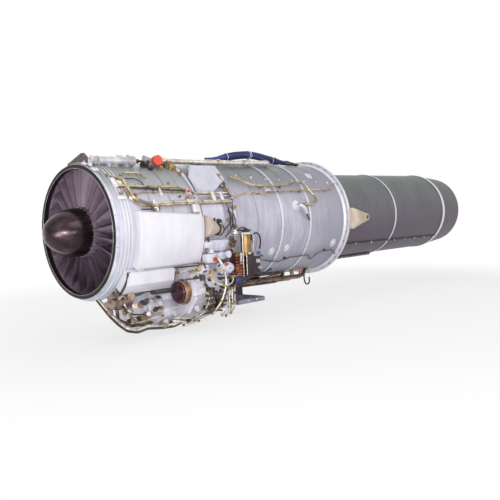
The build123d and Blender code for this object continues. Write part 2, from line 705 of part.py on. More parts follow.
# Nozzle flaps: curved petals that meet at rest and swing outwards, each with a knuckle and a cam rib
flap_slope = tan(radians(flap_angle))
flap_end_x = flap_hinge_x + flap_length
flap_end_r = flap_hinge_r - flap_length * flap_slope
flap_gap_angle = 0.6
flap_sweep = 360 / flaps - 2 * flap_gap_angle
cam_start = 46
cam_end = 96
for number in range(flaps):
    with BuildPart() as flap:
        with BuildSketch(half_plane(-flap_sweep / 2)):
            with BuildLine():
                Polyline((flap_hinge_x + 14, flap_hinge_r - 14 * flap_slope - flap_sheet),
                         (flap_hinge_x + 14, flap_hinge_r - 14 * flap_slope),
                         (flap_end_x, flap_end_r), (flap_end_x, flap_end_r - flap_sheet), close=True)
            make_face()
        revolve(axis=Axis.X, revolution_arc=flap_sweep)
        with BuildSketch(Plane.XZ.offset(-flap_knuckle_width / 2)):
            with Locations((flap_hinge_x, flap_hinge_r)):
                Circle(flap_knuckle_r)
            with BuildLine():
                Polyline((flap_hinge_x, flap_hinge_r - flap_knuckle_r),
                         (flap_hinge_x + 5, flap_hinge_r + 5),
                         (flap_hinge_x + 20, flap_hinge_r - 20 * flap_slope - 1),
                         (flap_hinge_x + 20, flap_hinge_r - 20 * flap_slope - 3 - flap_sheet), close=True)
            make_face()
            with Locations((flap_hinge_x, flap_hinge_r)):
                Circle(flap_pin_r + running_gap, mode=Mode.SUBTRACT)
        extrude(amount=flap_knuckle_width)
        with BuildSketch(Plane.XZ.offset(-4)):
            with BuildLine():
                Polyline((flap_hinge_x + cam_start, flap_hinge_r - cam_start * flap_slope - 2),
                         (flap_hinge_x + cam_start, flap_hinge_r - cam_start * flap_slope + 1),
                         (flap_hinge_x + cam_end, flap_hinge_r),
                         (flap_hinge_x + cam_end + 6, flap_hinge_r - (cam_end + 6) * flap_slope - 2),
                         close=True)
            make_face()
        extrude(amount=8)
    turned = flap.part.rotate(Axis.X, number * 360 / flaps)
    turned.label = f"nozzle_flap_{number + 1}"
    export_step(turned, f"parts/{turned.label}.step")


# Oil tank: a saddle tank that hugs the port side of the fan casing, with a top edge that falls aft
tank_top_z = 122
tank_fall = 38
tank_end_x = mid_x - joint_flange_width - 2
tank_x = tank_end_x - tank_length
with BuildPart() as oil_tank:
    with BuildSketch(half_plane(76)):
        with BuildLine():
            Polyline((tank_x, front_casing_r + seat_gap), (tank_x, front_casing_r + tank_thickness),
                     (tank_end_x, front_casing_r + tank_thickness), (tank_end_x, front_casing_r + seat_gap),
                     close=True)
        make_face()
    revolve(axis=Axis.X, revolution_arc=44)
    with BuildSketch(Plane.XZ):
        with BuildLine():
            Polyline((tank_x - 1, tank_top_z), (tank_end_x + 1, tank_top_z - tank_fall),
                     (tank_end_x + 1, 2 * tank_top_z), (tank_x - 1, 2 * tank_top_z), close=True)
        make_face()
    extrude(amount=2 * front_casing_r, mode=Mode.SUBTRACT)
    tank_front = oil_tank.faces().filter_by(GeomType.CYLINDER).sort_by(lambda face: face.radius)[-1]
    fillet(tank_front.edges(), radius=tank_round)
save(oil_tank, "oil_tank")

# Stations of the accessory gearbox and of the drive pad on its port face
gearbox_x = mid_x - 155
gearbox_nose_x = mid_x - 300
gearbox_end_x = combustor_x + 115
pad_y = -434
pad_z = -445
pad_foot = 9
pad_length = 42
pad_bulge = 14

# Oil cooler: the wedge-shaped box below the tank, seated on the casing's ribs
cooler_x = fan_x + 56
cooler_length = gearbox_x - pad_length - pad_bulge - 3 - cooler_x
rib_top_r = front_casing_r + rib_height
with BuildPart() as oil_cooler:
    with BuildSketch(Plane.YZ.offset(cooler_x)):
        with BuildLine():
            Polyline(*[at(0, clock, radius)[1:] for clock, radius in
                       ((122, 460), (122.5, 512), (131, 545), (139, 548), (141, 460))], close=True)
        make_face()
    extrude(amount=cooler_length)
    fillet(oil_cooler.edges().filter_by(Axis.X).sort_by(lambda e: e.center().Y)[:2], radius=12)
    with Locations((cooler_x, 0, 0)):
        Cylinder(rib_top_r + seat_gap, 3 * cooler_length, rotation=(0, 90, 0), mode=Mode.SUBTRACT)
save(oil_cooler, "oil_cooler")

# Accessory gearbox: a cast crescent under the intermediate casing, with a lower nose
gearbox_length = 355
nose_port_y = pad_y + pad_r + pad_foot + 3
gearbox_bottom = mid_flange_r + gearbox_depth
gearbox_seat_r = mid_flange_r + seat_gap
with BuildPart() as gearbox_casing:
    with BuildSketch(Plane.YZ.offset(gearbox_x)):
        with BuildLine():
            Polyline((-440, -262), (-515, -305), (-532, -470), (-430, -600), (-300, -680),
                     (-60, -gearbox_bottom), (120, 18 - gearbox_bottom), (200, -620), (215, -400),
                     close=True)
        make_face()
    extrude(amount=gearbox_length)
    with BuildSketch(Plane.YZ.offset(gearbox_nose_x)):
        with BuildLine():
            Polyline((nose_port_y, -440), (nose_port_y, -500), (-388, -545), (-385, -600), (-290, -672),
                     (-60, 8 - gearbox_bottom), (110, 28 - gearbox_bottom), (185, -610), (190, -440),
                     close=True)
        make_face()
    extrude(amount=gearbox_x - gearbox_nose_x + 5)
    with BuildSketch(Plane.YZ.offset(gearbox_x + gearbox_length - 5)):
        with BuildLine():
            Polyline((-290, -500), (-300, -640), (-60, 55 - gearbox_bottom), (90, 60 - gearbox_bottom),
                     (150, -600), (150, -480), close=True)
        make_face()
    extrude(amount=gearbox_end_x - gearbox_x - gearbox_length + 5)
    fillet(gearbox_casing.edges().filter_by(Axis.X).sort_by(Axis.Z)[:5], radius=16)
    with Locations((gearbox_x, 0, 0)):
        Cylinder(gearbox_seat_r, 4 * gearbox_length, rotation=(0, 90, 0), mode=Mode.SUBTRACT)
    with Locations((combustor_x, 0, 0)):
        Cylinder(rear_casing_r + joint_flange_height + seat_gap, 2 * gearbox_length, rotation=(0, 90, 0),
                 mode=Mode.SUBTRACT)
save(gearbox_casing, "gearbox_casing")

# Drive pad: a bronze collar on the gearbox's port face, and the black cover pushed into it
pad_wall = 8
pad_screw_r = 3
pad_plane = Plane(origin=(gearbox_x - seat_gap, pad_y, pad_z), x_dir=(0, 1, 0), z_dir=(-1, 0, 0))
with BuildPart() as drive_pad:
    with BuildSketch(pad_plane):
        Circle(pad_r + pad_foot)
        Circle(pad_r - pad_wall, mode=Mode.SUBTRACT)
        with PolarLocations(pad_r + pad_foot / 2, 8):
            Circle(pad_screw_r, mode=Mode.SUBTRACT)
    extrude(amount=pad_foot)
    with BuildSketch(pad_plane.offset(pad_foot)):
        Circle(pad_r)
        Circle(pad_r - pad_wall, mode=Mode.SUBTRACT)
    extrude(amount=pad_length - pad_foot)
    chamfer(drive_pad.edges().filter_by(GeomType.CIRCLE).sort_by(Axis.X)[:2], length=3)
save(drive_pad, "drive_pad")

with BuildPart() as pad_cover:
    with BuildSketch(pad_plane.offset(seat_gap)):
        Circle(pad_r - pad_wall - seat_gap)
    extrude(amount=pad_length + pad_bulge)
    fillet(pad_cover.edges().filter_by(GeomType.CIRCLE).sort_by(Axis.X)[0], radius=12)
save(pad_cover, "pad_cover")

# Pumps: the turned fuel pump on the gearbox's nose, and the oil pump block on the casing's ribs
pump_y = -318
pump_z = -530
pump_length = 96
pump_flange = 10
pump_plane = Plane(origin=(gearbox_nose_x - seat_gap, pump_y, pump_z), x_dir=(0, 1, 0), z_dir=(-1, 0, 0))
oil_pump_x = fan_x + 62
oil_pump_length = 110
oil_pump_bottom_z = -520
with BuildPart() as fuel_pump:
    with BuildSketch(pump_plane):
        Circle(pump_r + 8)
    extrude(amount=pump_flange)
    with BuildSketch(pump_plane.offset(pump_flange)):
        Circle(pump_r)
    extrude(amount=pump_length)
    fillet(fuel_pump.edges().filter_by(GeomType.CIRCLE).sort_by(Axis.X)[0], radius=10)
    with BuildSketch(pump_plane.offset(pump_flange + pump_length)):
        Circle(0.42 * pump_r)
    extrude(amount=18)
with BuildPart() as oil_pump:
    with BuildSketch(Plane.YZ.offset(oil_pump_x)):
        with BuildLine():
            Polyline((-277, -367), (-337, -447), (-300, oil_pump_bottom_z), (-195, oil_pump_bottom_z),
                     (-180, -420), close=True)
        make_face()
    extrude(amount=oil_pump_length)
    with Locations((oil_pump_x, 0, 0)):
        Cylinder(rib_top_r + seat_gap, 4 * oil_pump_length, rotation=(0, 90, 0), mode=Mode.SUBTRACT)
    for y, z, radius, reach in ((-288, -476, 34, 46), (-222, -490, 27, 34)):
        with BuildSketch(Plane(origin=(oil_pump_x, y, z), x_dir=(0, 1, 0), z_dir=(-1, 0, 0))):
            Circle(radius)
        extrude(amount=reach)
with BuildPart() as pumps:
    add([fuel_pump.part, oil_pump.part])
save(pumps, "pumps")

# Fuel governor: a brass cylinder standing over a finned stack, bracketed to the combustor casing
governor_x = combustor_x + 40
stack_x = governor_x - 104
governor_y = -545
governor_r = 38
governor_top_z = -84
governor_foot_z = -215
stack_depth = 172
fin_pitch = 22
fin_plate = 8
stack_width = 60
stack_side = 56
fin_reach = 10
table_plate = 24
arm_width = 40
lever_pin_r = 6
lever_plate = 8
lever_y = governor_y - stack_side / 2 - fin_reach - 4
lever_z = governor_foot_z - 60
with BuildPart() as fuel_governor:
    with BuildSketch(Plane.XY.offset(governor_foot_z)):
        with Locations((governor_x, governor_y)):
            Circle(governor_r)
    extrude(amount=governor_top_z - governor_foot_z)
    with BuildSketch(Plane.XY.offset(governor_top_z)):
        with Locations((governor_x, governor_y)):
            Circle(governor_r - 8)
    extrude(amount=12)
    with BuildSketch(Plane.XY.offset(governor_foot_z - 20)):
        with Locations(((governor_x + stack_x) / 2, governor_y)):
            Rectangle(governor_x - stack_x + 2 * governor_r, 2 * governor_r)
    extrude(amount=table_plate)
    with Locations((stack_x, governor_y, governor_foot_z - stack_depth / 2)):
        Box(stack_width, stack_side, stack_depth)
    for k in range(1, int(stack_depth / fin_pitch)):
        with Locations((stack_x, governor_y, governor_foot_z - fin_pitch * (k + 0.5))):
            Box(stack_width + 2 * fin_reach, stack_side + 2 * fin_reach, fin_plate)
    with Locations(((governor_x + stack_x) / 2, governor_y / 2 - 0.4 * rear_casing_r, governor_foot_z - 8)):
        Box(arm_width, abs(governor_y) - 0.8 * rear_casing_r, table_plate - 4)
    with Locations((governor_x, 0, 0)):
        Cylinder(rear_casing_r + joint_flange_height + seat_gap, 8 * governor_r, rotation=(0, 90, 0),
                 mode=Mode.SUBTRACT)
    with Locations((stack_x, lever_y - lever_plate / 2, lever_z)):
        Cylinder(lever_pin_r, 2 * lever_plate + 6, rotation=(90, 0, 0))
save(fuel_governor, "fuel_governor")

# Throttle lever: swings on the governor's outboard pin
lever_length = 64
with BuildPart() as throttle_lever:
    with BuildSketch(Plane(origin=(stack_x, lever_y, lever_z), x_dir=(1, 0, 0), z_dir=(0, -1, 0))):
        with BuildLine():
            Line((-12, 0), (-7, lever_length))
            ThreePointArc((-7, lever_length), (0, lever_length + 7), (7, lever_length))
            Line((7, lever_length), (12, 0))
            ThreePointArc((12, 0), (0, -12), (-12, 0))
        make_face()
        Circle(lever_pin_r + running_gap, mode=Mode.SUBTRACT)
        with Locations((0, lever_length)):
            Circle(3, mode=Mode.SUBTRACT)
    extrude(amount=lever_plate)
save(throttle_lever, "throttle_lever")

# Control unit: a dark box behind the governor, on an arm from the casing
control_x = governor_x + 76
control_z = governor_foot_z - 92
control_height = 118
with BuildPart() as control_unit:
    with Locations((control_x, governor_y, control_z)):
        Box(66, 84, control_height)
    chamfer(control_unit.edges().filter_by(Axis.Z), length=8)
    with Locations((control_x, (governor_y - rear_casing_r) / 2 + 70, control_z)):
        Box(34, rear_casing_r / 2, 0.5 * control_height)
    with Locations((control_x, 0, 0)):
        Cylinder(rear_casing_r + seat_gap, 300, rotation=(0, 90, 0), mode=Mode.SUBTRACT)
save(control_unit, "control_unit")

# Drain tray: a wide shallow tray hung under the combustor casing on two hangers
tray_x = combustor_x + 255
tray_length = 310
tray_width = 430
tray_height = 34
tray_wall = 6
tray_y = -15
tray_z = -(rear_casing_r + 158)
hanger_y = 30
hanger_inset = 50
with BuildPart() as drain_tray:
    with Locations((tray_x + tray_length / 2, tray_y, tray_z)):
        Box(tray_length, tray_width, tray_height)
    with Locations((tray_x + tray_length / 2, tray_y, tray_z + tray_wall)):
        Box(tray_length - 2 * tray_wall, tray_width - 2 * tray_wall, tray_height, mode=Mode.SUBTRACT)
    hanger_top = -0.9 * rear_casing_r
    hanger_bottom = tray_z - tray_height / 2 + tray_wall / 2
    for x in (tray_x + hanger_inset, tray_x + tray_length - hanger_inset):
        with Locations((x, hanger_y, (hanger_bottom + hanger_top) / 2)):
            Box(2 * tray_wall, 2 * hanger_inset, hanger_top - hanger_bottom)
    with Locations((tray_x, 0, 0)):
        Cylinder(rear_casing_r + seat_gap, 4 * tray_length, rotation=(0, 90, 0), mode=Mode.SUBTRACT)
save(drain_tray, "drain_tray")

# Bleed actuator: a tan cone pointing aft behind the tank, seated on the casing's joint flange
bleed_y = -(mid_flange_r + 26)
bleed_x = mid_x + 2
bleed_z = -4
bleed_tilt = 12
bleed_way = (cos(radians(bleed_tilt)), 0, -sin(radians(bleed_tilt)))
bleed_plane = Plane(origin=(bleed_x, bleed_y, bleed_z), x_dir=bleed_way, z_dir=(0, -1, 0))
with BuildPart() as bleed_actuator:
    with BuildSketch(bleed_plane):
        with BuildLine():
            Polyline((-8, 0), (-8, 76), (4, 76), (92, 44), (98, 32), (118, 32), (124, 39), (152, 35),
                     (166, 22), (166, 0), close=True)
        make_face()
    revolve(axis=Axis(bleed_plane.origin, bleed_plane.x_dir))
    with Locations((bleed_x, 0, 0)):
        Cylinder(mid_flange_r + seat_gap, 600, rotation=(0, 90, 0), mode=Mode.SUBTRACT)
    with Locations((bleed_x - 50, bleed_y, bleed_z)):
        Box(100 - 2 * seat_gap, 300, 300, mode=Mode.SUBTRACT)
save(bleed_actuator, "bleed_actuator")

# Air bottle: the long silver tube at the top front, held by two saddles on the fan casing
bottle_x = fan_x + 30
bottle_length = 296
bottle_seat_r = rib_top_r + 2
bottle_axis_r = bottle_seat_r + top_tube_r
bottle_clock = 22
with BuildPart() as air_bottle:
    with BuildSketch(half_plane(bottle_clock)):
        with BuildLine():
            Polyline((bottle_x, bottle_axis_r), (bottle_x + 12, bottle_axis_r + top_tube_r),
                     (bottle_x + bottle_length, bottle_axis_r + top_tube_r),
                     (bottle_x + bottle_length, bottle_axis_r + top_tube_r + 6),
                     (bottle_x + bottle_length + 10, bottle_axis_r + top_tube_r + 6),
                     (bottle_x + bottle_length + 10, bottle_axis_r), close=True)
        make_face()
    revolve(axis=Axis(at(0, bottle_clock, bottle_axis_r), (1, 0, 0)))
    for x in (bottle_x + 90, bottle_x + 230):
        with Locations(on_side(x, bottle_clock, front_casing_r + 14)):
            Box(22, 78, 28)
    with Locations((bottle_x, 0, 0)):
        Cylinder(front_casing_r + seat_gap, 3 * bottle_length, rotation=(0, 90, 0), mode=Mode.SUBTRACT)
    with Locations((bottle_x, 0, 0)):
        Cylinder(rib_top_r + seat_gap, 160, rotation=(0, 90, 0), mode=Mode.SUBTRACT)
save(air_bottle, "air_bottle")

# Air valve: a cast body on top of the casing with a capped side stub
valve_x = mid_x - 158
valve_clock = 19
stub_r = 28
stub_z = front_casing_r + 3
stub_root_y = -170
stub_length = 72
outlet_r = 24
outlet_reach = 24
cap_wall = 4
cap_depth = 30
with BuildPart() as air_valve:
    with BuildSketch(on_side(valve_x, valve_clock, front_casing_r)):
        with Locations((0, 8)):
            Rectangle(88, 92)
    extrude(amount=62)
    chamfer(air_valve.edges().filter_by(Axis.X), length=12)
    with BuildSketch(Plane(origin=(valve_x, stub_root_y, stub_z), x_dir=(1, 0, 0), z_dir=(0, -1, 0))):
        Circle(stub_r)
    extrude(amount=stub_length)
    with BuildSketch(Plane(origin=at(valve_x + 40, valve_clock, front_casing_r + 34), z_dir=(1, 0, 0))):
        Circle(outlet_r)
    extrude(amount=outlet_reach)
    with Locations((valve_x, 0, 0)):
        Cylinder(front_casing_r + seat_gap, 400, rotation=(0, 90, 0), mode=Mode.SUBTRACT)
save(air_valve, "air_valve")

# Blanking cap: a red cup that pulls off the valve's stub
cap_end_y = stub_root_y - stub_length - seat_gap - cap_wall
cap_plane = Plane(origin=(valve_x, cap_end_y, stub_z), x_dir=(1, 0, 0), z_dir=(0, 1, 0))
with BuildPart() as blanking_cap:
    with BuildSketch(cap_plane):
        Circle(stub_r + cap_wall + 5)
    extrude(amount=cap_depth)
    with BuildSketch(cap_plane.offset(cap_wall)):
        Circle(stub_r + seat_gap)
    extrude(amount=cap_depth, mode=Mode.SUBTRACT)
    chamfer(blanking_cap.edges().filter_by(GeomType.CIRCLE).sort_by(Axis.Y)[0], length=4)
save(blanking_cap, "blanking_cap")

# Air pipe: a silver line along the top from the valve to the turbine casing
pipe_r = rear_casing_r + joint_flange_height + seat_gap + top_pipe_r
air_pipe_end_x = exhaust_x - 150
outlet_x = valve_x + 40 + outlet_reach + seat_gap
with BuildPart() as air_pipe:
    add(bent_tube([at(outlet_x, valve_clock, front_casing_r + 34),
                   at(outlet_x + 50, valve_clock, front_casing_r + 34),
                   at(outlet_x + 130, 23, pipe_r), at(combustor_x + 300, 22.6, pipe_r),
                   at(air_pipe_end_x, 20, pipe_r + 2), at(air_pipe_end_x, 20, rear_casing_r + seat_gap)],
                  top_pipe_r, 26))
    for x, clock in ((combustor_x + 120, 22.8), (combustor_x + 420, 21.9), (air_pipe_end_x - 60, 20.3)):
        with BuildSketch(Plane(origin=at(x, clock, pipe_r), z_dir=(1, 0, 0))):
            Circle(top_pipe_r + 5)
        extrude(amount=24)
save(air_pipe, "air_pipe")

# Wiring harness: a thick wrapped bundle arched along the top of the rear casings
harness_seat_r = rear_casing_r + harness_r + seat_gap
with BuildPart() as wiring_harness:
    add(bent_tube([at(combustor_x + 154, 4, harness_seat_r), at(combustor_x + 270, 4, harness_seat_r + 2),
                   at(turbine_x - 118, 7, harness_seat_r + 40), at(turbine_x + 52, 8, harness_seat_r + 56),
                   at(turbine_x + 232, 5, harness_seat_r + 42), at(exhaust_x + 77, 1, harness_seat_r + 14),
                   at(exhaust_x + 207, -2, harness_seat_r + 1), at(exhaust_x + 312, -4, harness_seat_r)],
                  harness_r, 120))
save(wiring_harness, "wiring_harness")

# Unit covers: the pale cut-corner cover high on the port side, and two curved hatch plates below it
cover_x = mid_x + 14
cover_length = 332
cover_height = 256
cover_cut = 84
cover_clock = 47
cover_seat_r = rear_casing_r + joint_flange_height + seat_gap
hatch_plate = 12
with BuildPart() as unit_cover:
    with BuildSketch(on_side(cover_x + cover_length / 2, cover_clock, cover_seat_r + 14).offset(-50)):
        with BuildLine():
            half_l, half_h = cover_length / 2, cover_height / 2
            Polyline((-half_l, -half_h), (-half_l, half_h - 1.3 * cover_cut),
                     (-half_l + cover_cut, half_h), (half_l, half_h), (half_l, -0.2 * cover_cut),
                     (-0.1 * cover_cut, -half_h), close=True)
        make_face()
    extrude(amount=50)
    with Locations((cover_x, 0, 0)):
        Cylinder(cover_seat_r, 4 * cover_length, rotation=(0, 90, 0), mode=Mode.SUBTRACT)
    for hatch_x, hatch_length, clock, sweep_angle in ((mid_x + 25, 205, 72, 16), (mid_x + 22, 130, 101, 9)):
        with BuildSketch(half_plane(clock)):
            with Locations((hatch_x + hatch_length / 2, front_casing_r + seat_gap + hatch_plate / 2)):
                Rectangle(hatch_length, hatch_plate)
        revolve(axis=Axis.X, revolution_arc=sweep_angle)
save(unit_cover, "unit_cover")

# Pipework: bent lines held off the casings by clips, and a bundle of three along the belly
front_run_r = mid_flange_r + 2
thin_r = 6
hose_r = 9
elbow_r = 11
rear_run_r = rear_casing_r + 15
plug_height = 12


def clip(x, clock, seat_r, line_r):
    """A small block that stands on a casing and holds a line at a radius."""
    with BuildPart() as block:
        with BuildSketch(on_side(x, clock, seat_r + seat_gap)):
            Rectangle(14, 18)
        extrude(amount=line_r - seat_r - seat_gap)
    return block.part


with BuildPart() as upper_pipes:
    add(bent_tube([at(fan_x + 26, 53, rib_top_r + 9), at(fan_x + 120, 54, rib_top_r + 12),
                   at(mid_x - 140, 56, front_run_r + 8), at(mid_x - 18, 62, front_run_r + 8)], 7, 40))
    add(bent_tube([at(fan_x + 110, 48, rib_top_r + 20), at(fan_x + 130, 66, rib_top_r + 20),
                   at(fan_x + 270, 72, front_run_r + 12), at(mid_x, 71, front_run_r + 12),
                   at(combustor_x - 20, 71, cover_seat_r + 13)], 11, 50))
    add(bent_tube([at(fan_x + 120, 46, rib_top_r + 8), at(fan_x + 140, 38, rib_top_r + 8),
                   at(fan_x + 290, 38, rib_top_r + 8), at(fan_x + 315, 45, rib_top_r + 8)], 6, 26))
    for x, clock, line_r in ((fan_x + 220, 54.4, rib_top_r + 14), (mid_x - 90, 58.5, front_run_r + 8),
                             (fan_x + 280, 72, front_run_r + 10), (mid_x - 60, 71.2, front_run_r + 10),
                             (fan_x + 220, 38, rib_top_r + 8)):
        add(clip(x, clock, front_casing_r, line_r))
save(upper_pipes, "upper_pipes")

igniter_x = turbine_x + 199
igniter_clock = 76
elbow_x = exhaust_x + 107
hose_run_r = rear_run_r + hose_r + 3
thin_run_r = rear_run_r + thin_r
with BuildPart() as rear_pipes:
    add(bent_tube([at(combustor_x - 20, 68, cover_seat_r + thin_r + 1),
                   at(combustor_x + 150, 63, cover_seat_r + thin_r), at(turbine_x + 132, 62, thin_run_r),
                   at(main_flange_x - 121, 60, thin_run_r), at(main_flange_x - 41, 53, thin_run_r)],
                  thin_r, 60))
    add(bent_tube([at(combustor_x + 82, 46, hose_run_r), at(combustor_x + 150, 48, hose_run_r),
                   at(weld_x, 55, hose_run_r), at(turbine_x - 68, 57, hose_run_r),
                   at(turbine_x + 152, 55, hose_run_r), at(exhaust_x - 63, 51, hose_run_r),
                   at(exhaust_x + 27, 55, hose_run_r + 2), at(exhaust_x + 77, 67, hose_run_r + 2),
                   at(elbow_x, 72, hose_run_r)], hose_r, 60))
    add(bent_tube([at(elbow_x, 72, hose_run_r), at(elbow_x - 70, igniter_clock, hose_run_r),
                   at(igniter_x, igniter_clock, rear_casing_r + plug_height + elbow_r + 2 * seat_gap)],
                  elbow_r, 40))
    for x, clock, line_r in ((weld_x + 60, 62.7, rear_run_r + 4), (exhaust_x - 63, 61.5, thin_run_r),
                             (main_flange_x - 211, 60.3, thin_run_r),
                             (turbine_x - 168, 56, hose_run_r), (turbine_x + 72, 55.8, hose_run_r),
                             (exhaust_x - 23, igniter_clock, hose_run_r)):
        add(clip(x, clock, rear_casing_r, line_r))
save(rear_pipes, "rear_pipes")

conduit_r = 13
conduit_clock = 166
conduit_length = 820
conduit_x = main_flange_x + cone_run + 20
loop_y = -250
loop_r = 12
bundle_run_r = rear_casing_r + joint_flange_height + 16
bundle_bend = 20
with BuildPart() as lower_pipes:
    add(bent_tube([at(combustor_x + 220, 124, thin_run_r), at(turbine_x + 52, 132, thin_run_r),
                   at(turbine_x + 182, 128, thin_run_r), at(exhaust_x + 67, 128, thin_run_r),
                   at(exhaust_x + 137, 136, thin_run_r), at(exhaust_x + 197, 126, thin_run_r),
                   at(main_flange_x - 131, 125, thin_run_r), at(main_flange_x - 41, 131, thin_run_r)],
                  thin_r, 30))
    for x, clock in ((combustor_x + 300, 125.7), (turbine_x + 132, 129.6), (main_flange_x - 221, 125.4)):
        add(clip(x, clock, rear_casing_r, rear_run_r + 4))
    add(bent_tube([(oil_pump_x + 28, loop_y, oil_pump_bottom_z - seat_gap), (oil_pump_x + 28, loop_y, -590),
                   (gearbox_nose_x - 170, loop_y, -650), (gearbox_nose_x - seat_gap, loop_y, -652)],
                  loop_r, 40))
    for clock, line_r, end_x in ((160, 11, exhaust_x - 90), (163.4, 13, exhaust_x - 40),
                                 (167, 11, exhaust_x + 20)):
        add(bent_tube([at(gearbox_end_x + seat_gap, clock, bundle_run_r + 26),
                       at(gearbox_end_x + 60, clock, bundle_run_r + 26),
                       at(gearbox_end_x + 145, clock, bundle_run_r), at(end_x - 160, clock, bundle_run_r),
                       at(end_x, clock - 4, bundle_run_r - 4),
                       at(end_x, clock - 4, rear_casing_r + seat_gap)], line_r, bundle_bend))
    with BuildSketch(Plane(origin=at(conduit_x, conduit_clock, jet_pipe_r + conduit_r + seat_gap),
                           z_dir=(1, 0, 0))):
        Circle(conduit_r)
    extrude(amount=conduit_length)
save(lower_pipes, "lower_pipes")

# Plugs: radial bosses for the igniters and probes
plug_r = 20
plug_neck = 4
with BuildPart() as plugs:
    for x, clock in ((igniter_x, igniter_clock), (turbine_x - 78, 120), (turbine_x + 102, 118),
                     (main_flange_x - 131, 118)):
        with BuildSketch(on_side(x, clock, rear_casing_r + seat_gap)):
            RegularPolygon(plug_r, 6)
        extrude(amount=plug_height - plug_neck)
        with BuildSketch(on_side(x, clock, rear_casing_r + seat_gap + plug_height - plug_neck)):
            Circle(elbow_r)
        extrude(amount=plug_neck)
save(plugs, "plugs")

# Mounts: a triangular bracket behind the main flange on each side, and the front lifting lug
bracket_foot_x = main_flange_x + main_flange_width + seat_gap
bracket_tip_x = bracket_foot_x + bracket_reach - 4
bracket_y = -(main_flange_r + 3)
bracket_z = -15
boss_r = 30
lug_apex_y = -60
lug_plate = 12
lug_bore_r = 11
lug_eye_z = 508
lug_top_z = lug_eye_z + 18
lug_x = fan_wall_x + skin + 1
with BuildPart() as mount_brackets:
    with BuildSketch(Plane.XZ.offset(-bracket_y - bracket_plate / 2)):
        with BuildLine():
            Polyline((bracket_foot_x, bracket_z - 95), (bracket_foot_x, bracket_z + 90),
                     (bracket_foot_x + 22, bracket_z + 90), (bracket_tip_x - 8, bracket_z + boss_r),
                     (bracket_tip_x - 8, bracket_z - boss_r), (bracket_foot_x + 22, bracket_z - 95),
                     close=True)
        make_face()
        with Locations((bracket_tip_x, bracket_z)):
            Circle(boss_r)
            Circle(bracket_bore_r, mode=Mode.SUBTRACT)
    extrude(amount=bracket_plate)
    for k in range(flange_bolts_count):
        with Locations(Plane(origin=at(bracket_foot_x, (k + 0.5) * 360 / flange_bolts_count, bolt_circle_r),
                             z_dir=(1, 0, 0))):
            Cylinder(bolt_head_r + 2, 2 * bolt_head + 2, mode=Mode.SUBTRACT)
    mirror(about=Plane.XZ)
    with BuildSketch(Plane.YZ.offset(lug_x)):
        with BuildLine():
            Polyline((132, 440), (128, 466), (lug_apex_y + 14, lug_top_z), (lug_apex_y - 12, lug_top_z),
                     (-176, 440), close=True)
        make_face()
        with Locations((lug_apex_y, lug_eye_z)):
            Circle(lug_bore_r, mode=Mode.SUBTRACT)
    extrude(amount=lug_plate)
    with Locations((lug_x + 6, 0, 0)):
        Cylinder(front_casing_r + seat_gap, 40, rotation=(0, 90, 0), mode=Mode.SUBTRACT)
save(mount_brackets, "mount_brackets")
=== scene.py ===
"""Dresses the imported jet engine: its paint, bare metal and small fittings, the plain studio and the camera.

Blender works in metres. Places and sizes are written in millimetres and made metres as a mesh is built.
+X runs aft along the engine's axis, +Z is up, and the port side, which the photograph shows, is -Y.
A clock angle is in degrees from the top towards the port side.
"""
from math import ceil, copysign, cos, pi, radians, sin

import bpy
from mathutils import Matrix, Vector


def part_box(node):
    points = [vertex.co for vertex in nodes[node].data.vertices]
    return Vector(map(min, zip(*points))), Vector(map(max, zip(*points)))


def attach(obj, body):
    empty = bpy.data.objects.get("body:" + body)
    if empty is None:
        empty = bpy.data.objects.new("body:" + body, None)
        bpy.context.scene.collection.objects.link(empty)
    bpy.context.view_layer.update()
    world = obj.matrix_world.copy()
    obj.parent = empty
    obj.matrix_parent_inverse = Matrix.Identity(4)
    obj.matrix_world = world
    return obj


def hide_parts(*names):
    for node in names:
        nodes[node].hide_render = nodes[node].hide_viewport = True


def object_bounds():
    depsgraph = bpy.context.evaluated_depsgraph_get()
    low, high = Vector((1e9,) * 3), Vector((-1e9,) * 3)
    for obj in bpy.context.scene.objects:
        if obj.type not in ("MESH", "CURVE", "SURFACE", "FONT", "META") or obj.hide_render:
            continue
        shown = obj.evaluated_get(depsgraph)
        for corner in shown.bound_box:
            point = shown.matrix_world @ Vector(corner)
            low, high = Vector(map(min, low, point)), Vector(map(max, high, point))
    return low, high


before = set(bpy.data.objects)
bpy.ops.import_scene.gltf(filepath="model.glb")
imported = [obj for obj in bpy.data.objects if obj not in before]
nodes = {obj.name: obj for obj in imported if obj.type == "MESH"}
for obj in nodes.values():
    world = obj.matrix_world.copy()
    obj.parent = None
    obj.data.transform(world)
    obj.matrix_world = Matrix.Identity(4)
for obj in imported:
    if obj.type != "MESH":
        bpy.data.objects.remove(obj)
cad_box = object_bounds()


# Camera: stands low off the port bow, a little above the engine's axis, with a slight roll.
# Its place and lens were worked out from the rings of the casings in the photograph.
def look(azimuth, elevation, roll):
    """Right, up and back directions of a camera that looks along an azimuth and elevation."""
    az, el, turn = radians(azimuth), radians(elevation), radians(roll)
    back = Vector((sin(az) * cos(el), -cos(az) * cos(el), sin(el)))
    right = Vector((0, 0, 1)).cross(back).normalized()
    up = back.cross(right)
    return cos(turn) * right + sin(turn) * up, -sin(turn) * right + cos(turn) * up, back


camera = bpy.data.objects.new("camera", bpy.data.cameras.new("camera"))
bpy.context.scene.collection.objects.link(camera)
camera.matrix_world = (Matrix.Translation((-2.403, -3.893, 0.091)) @
                       Matrix(look(-46.403, 3.412, -2.659)).transposed().to_4x4())
camera.data.lens = 47.44
camera.data.clip_end = 200
bpy.context.scene.camera = camera
bpy.context.scene.view_settings.view_transform = "Standard"


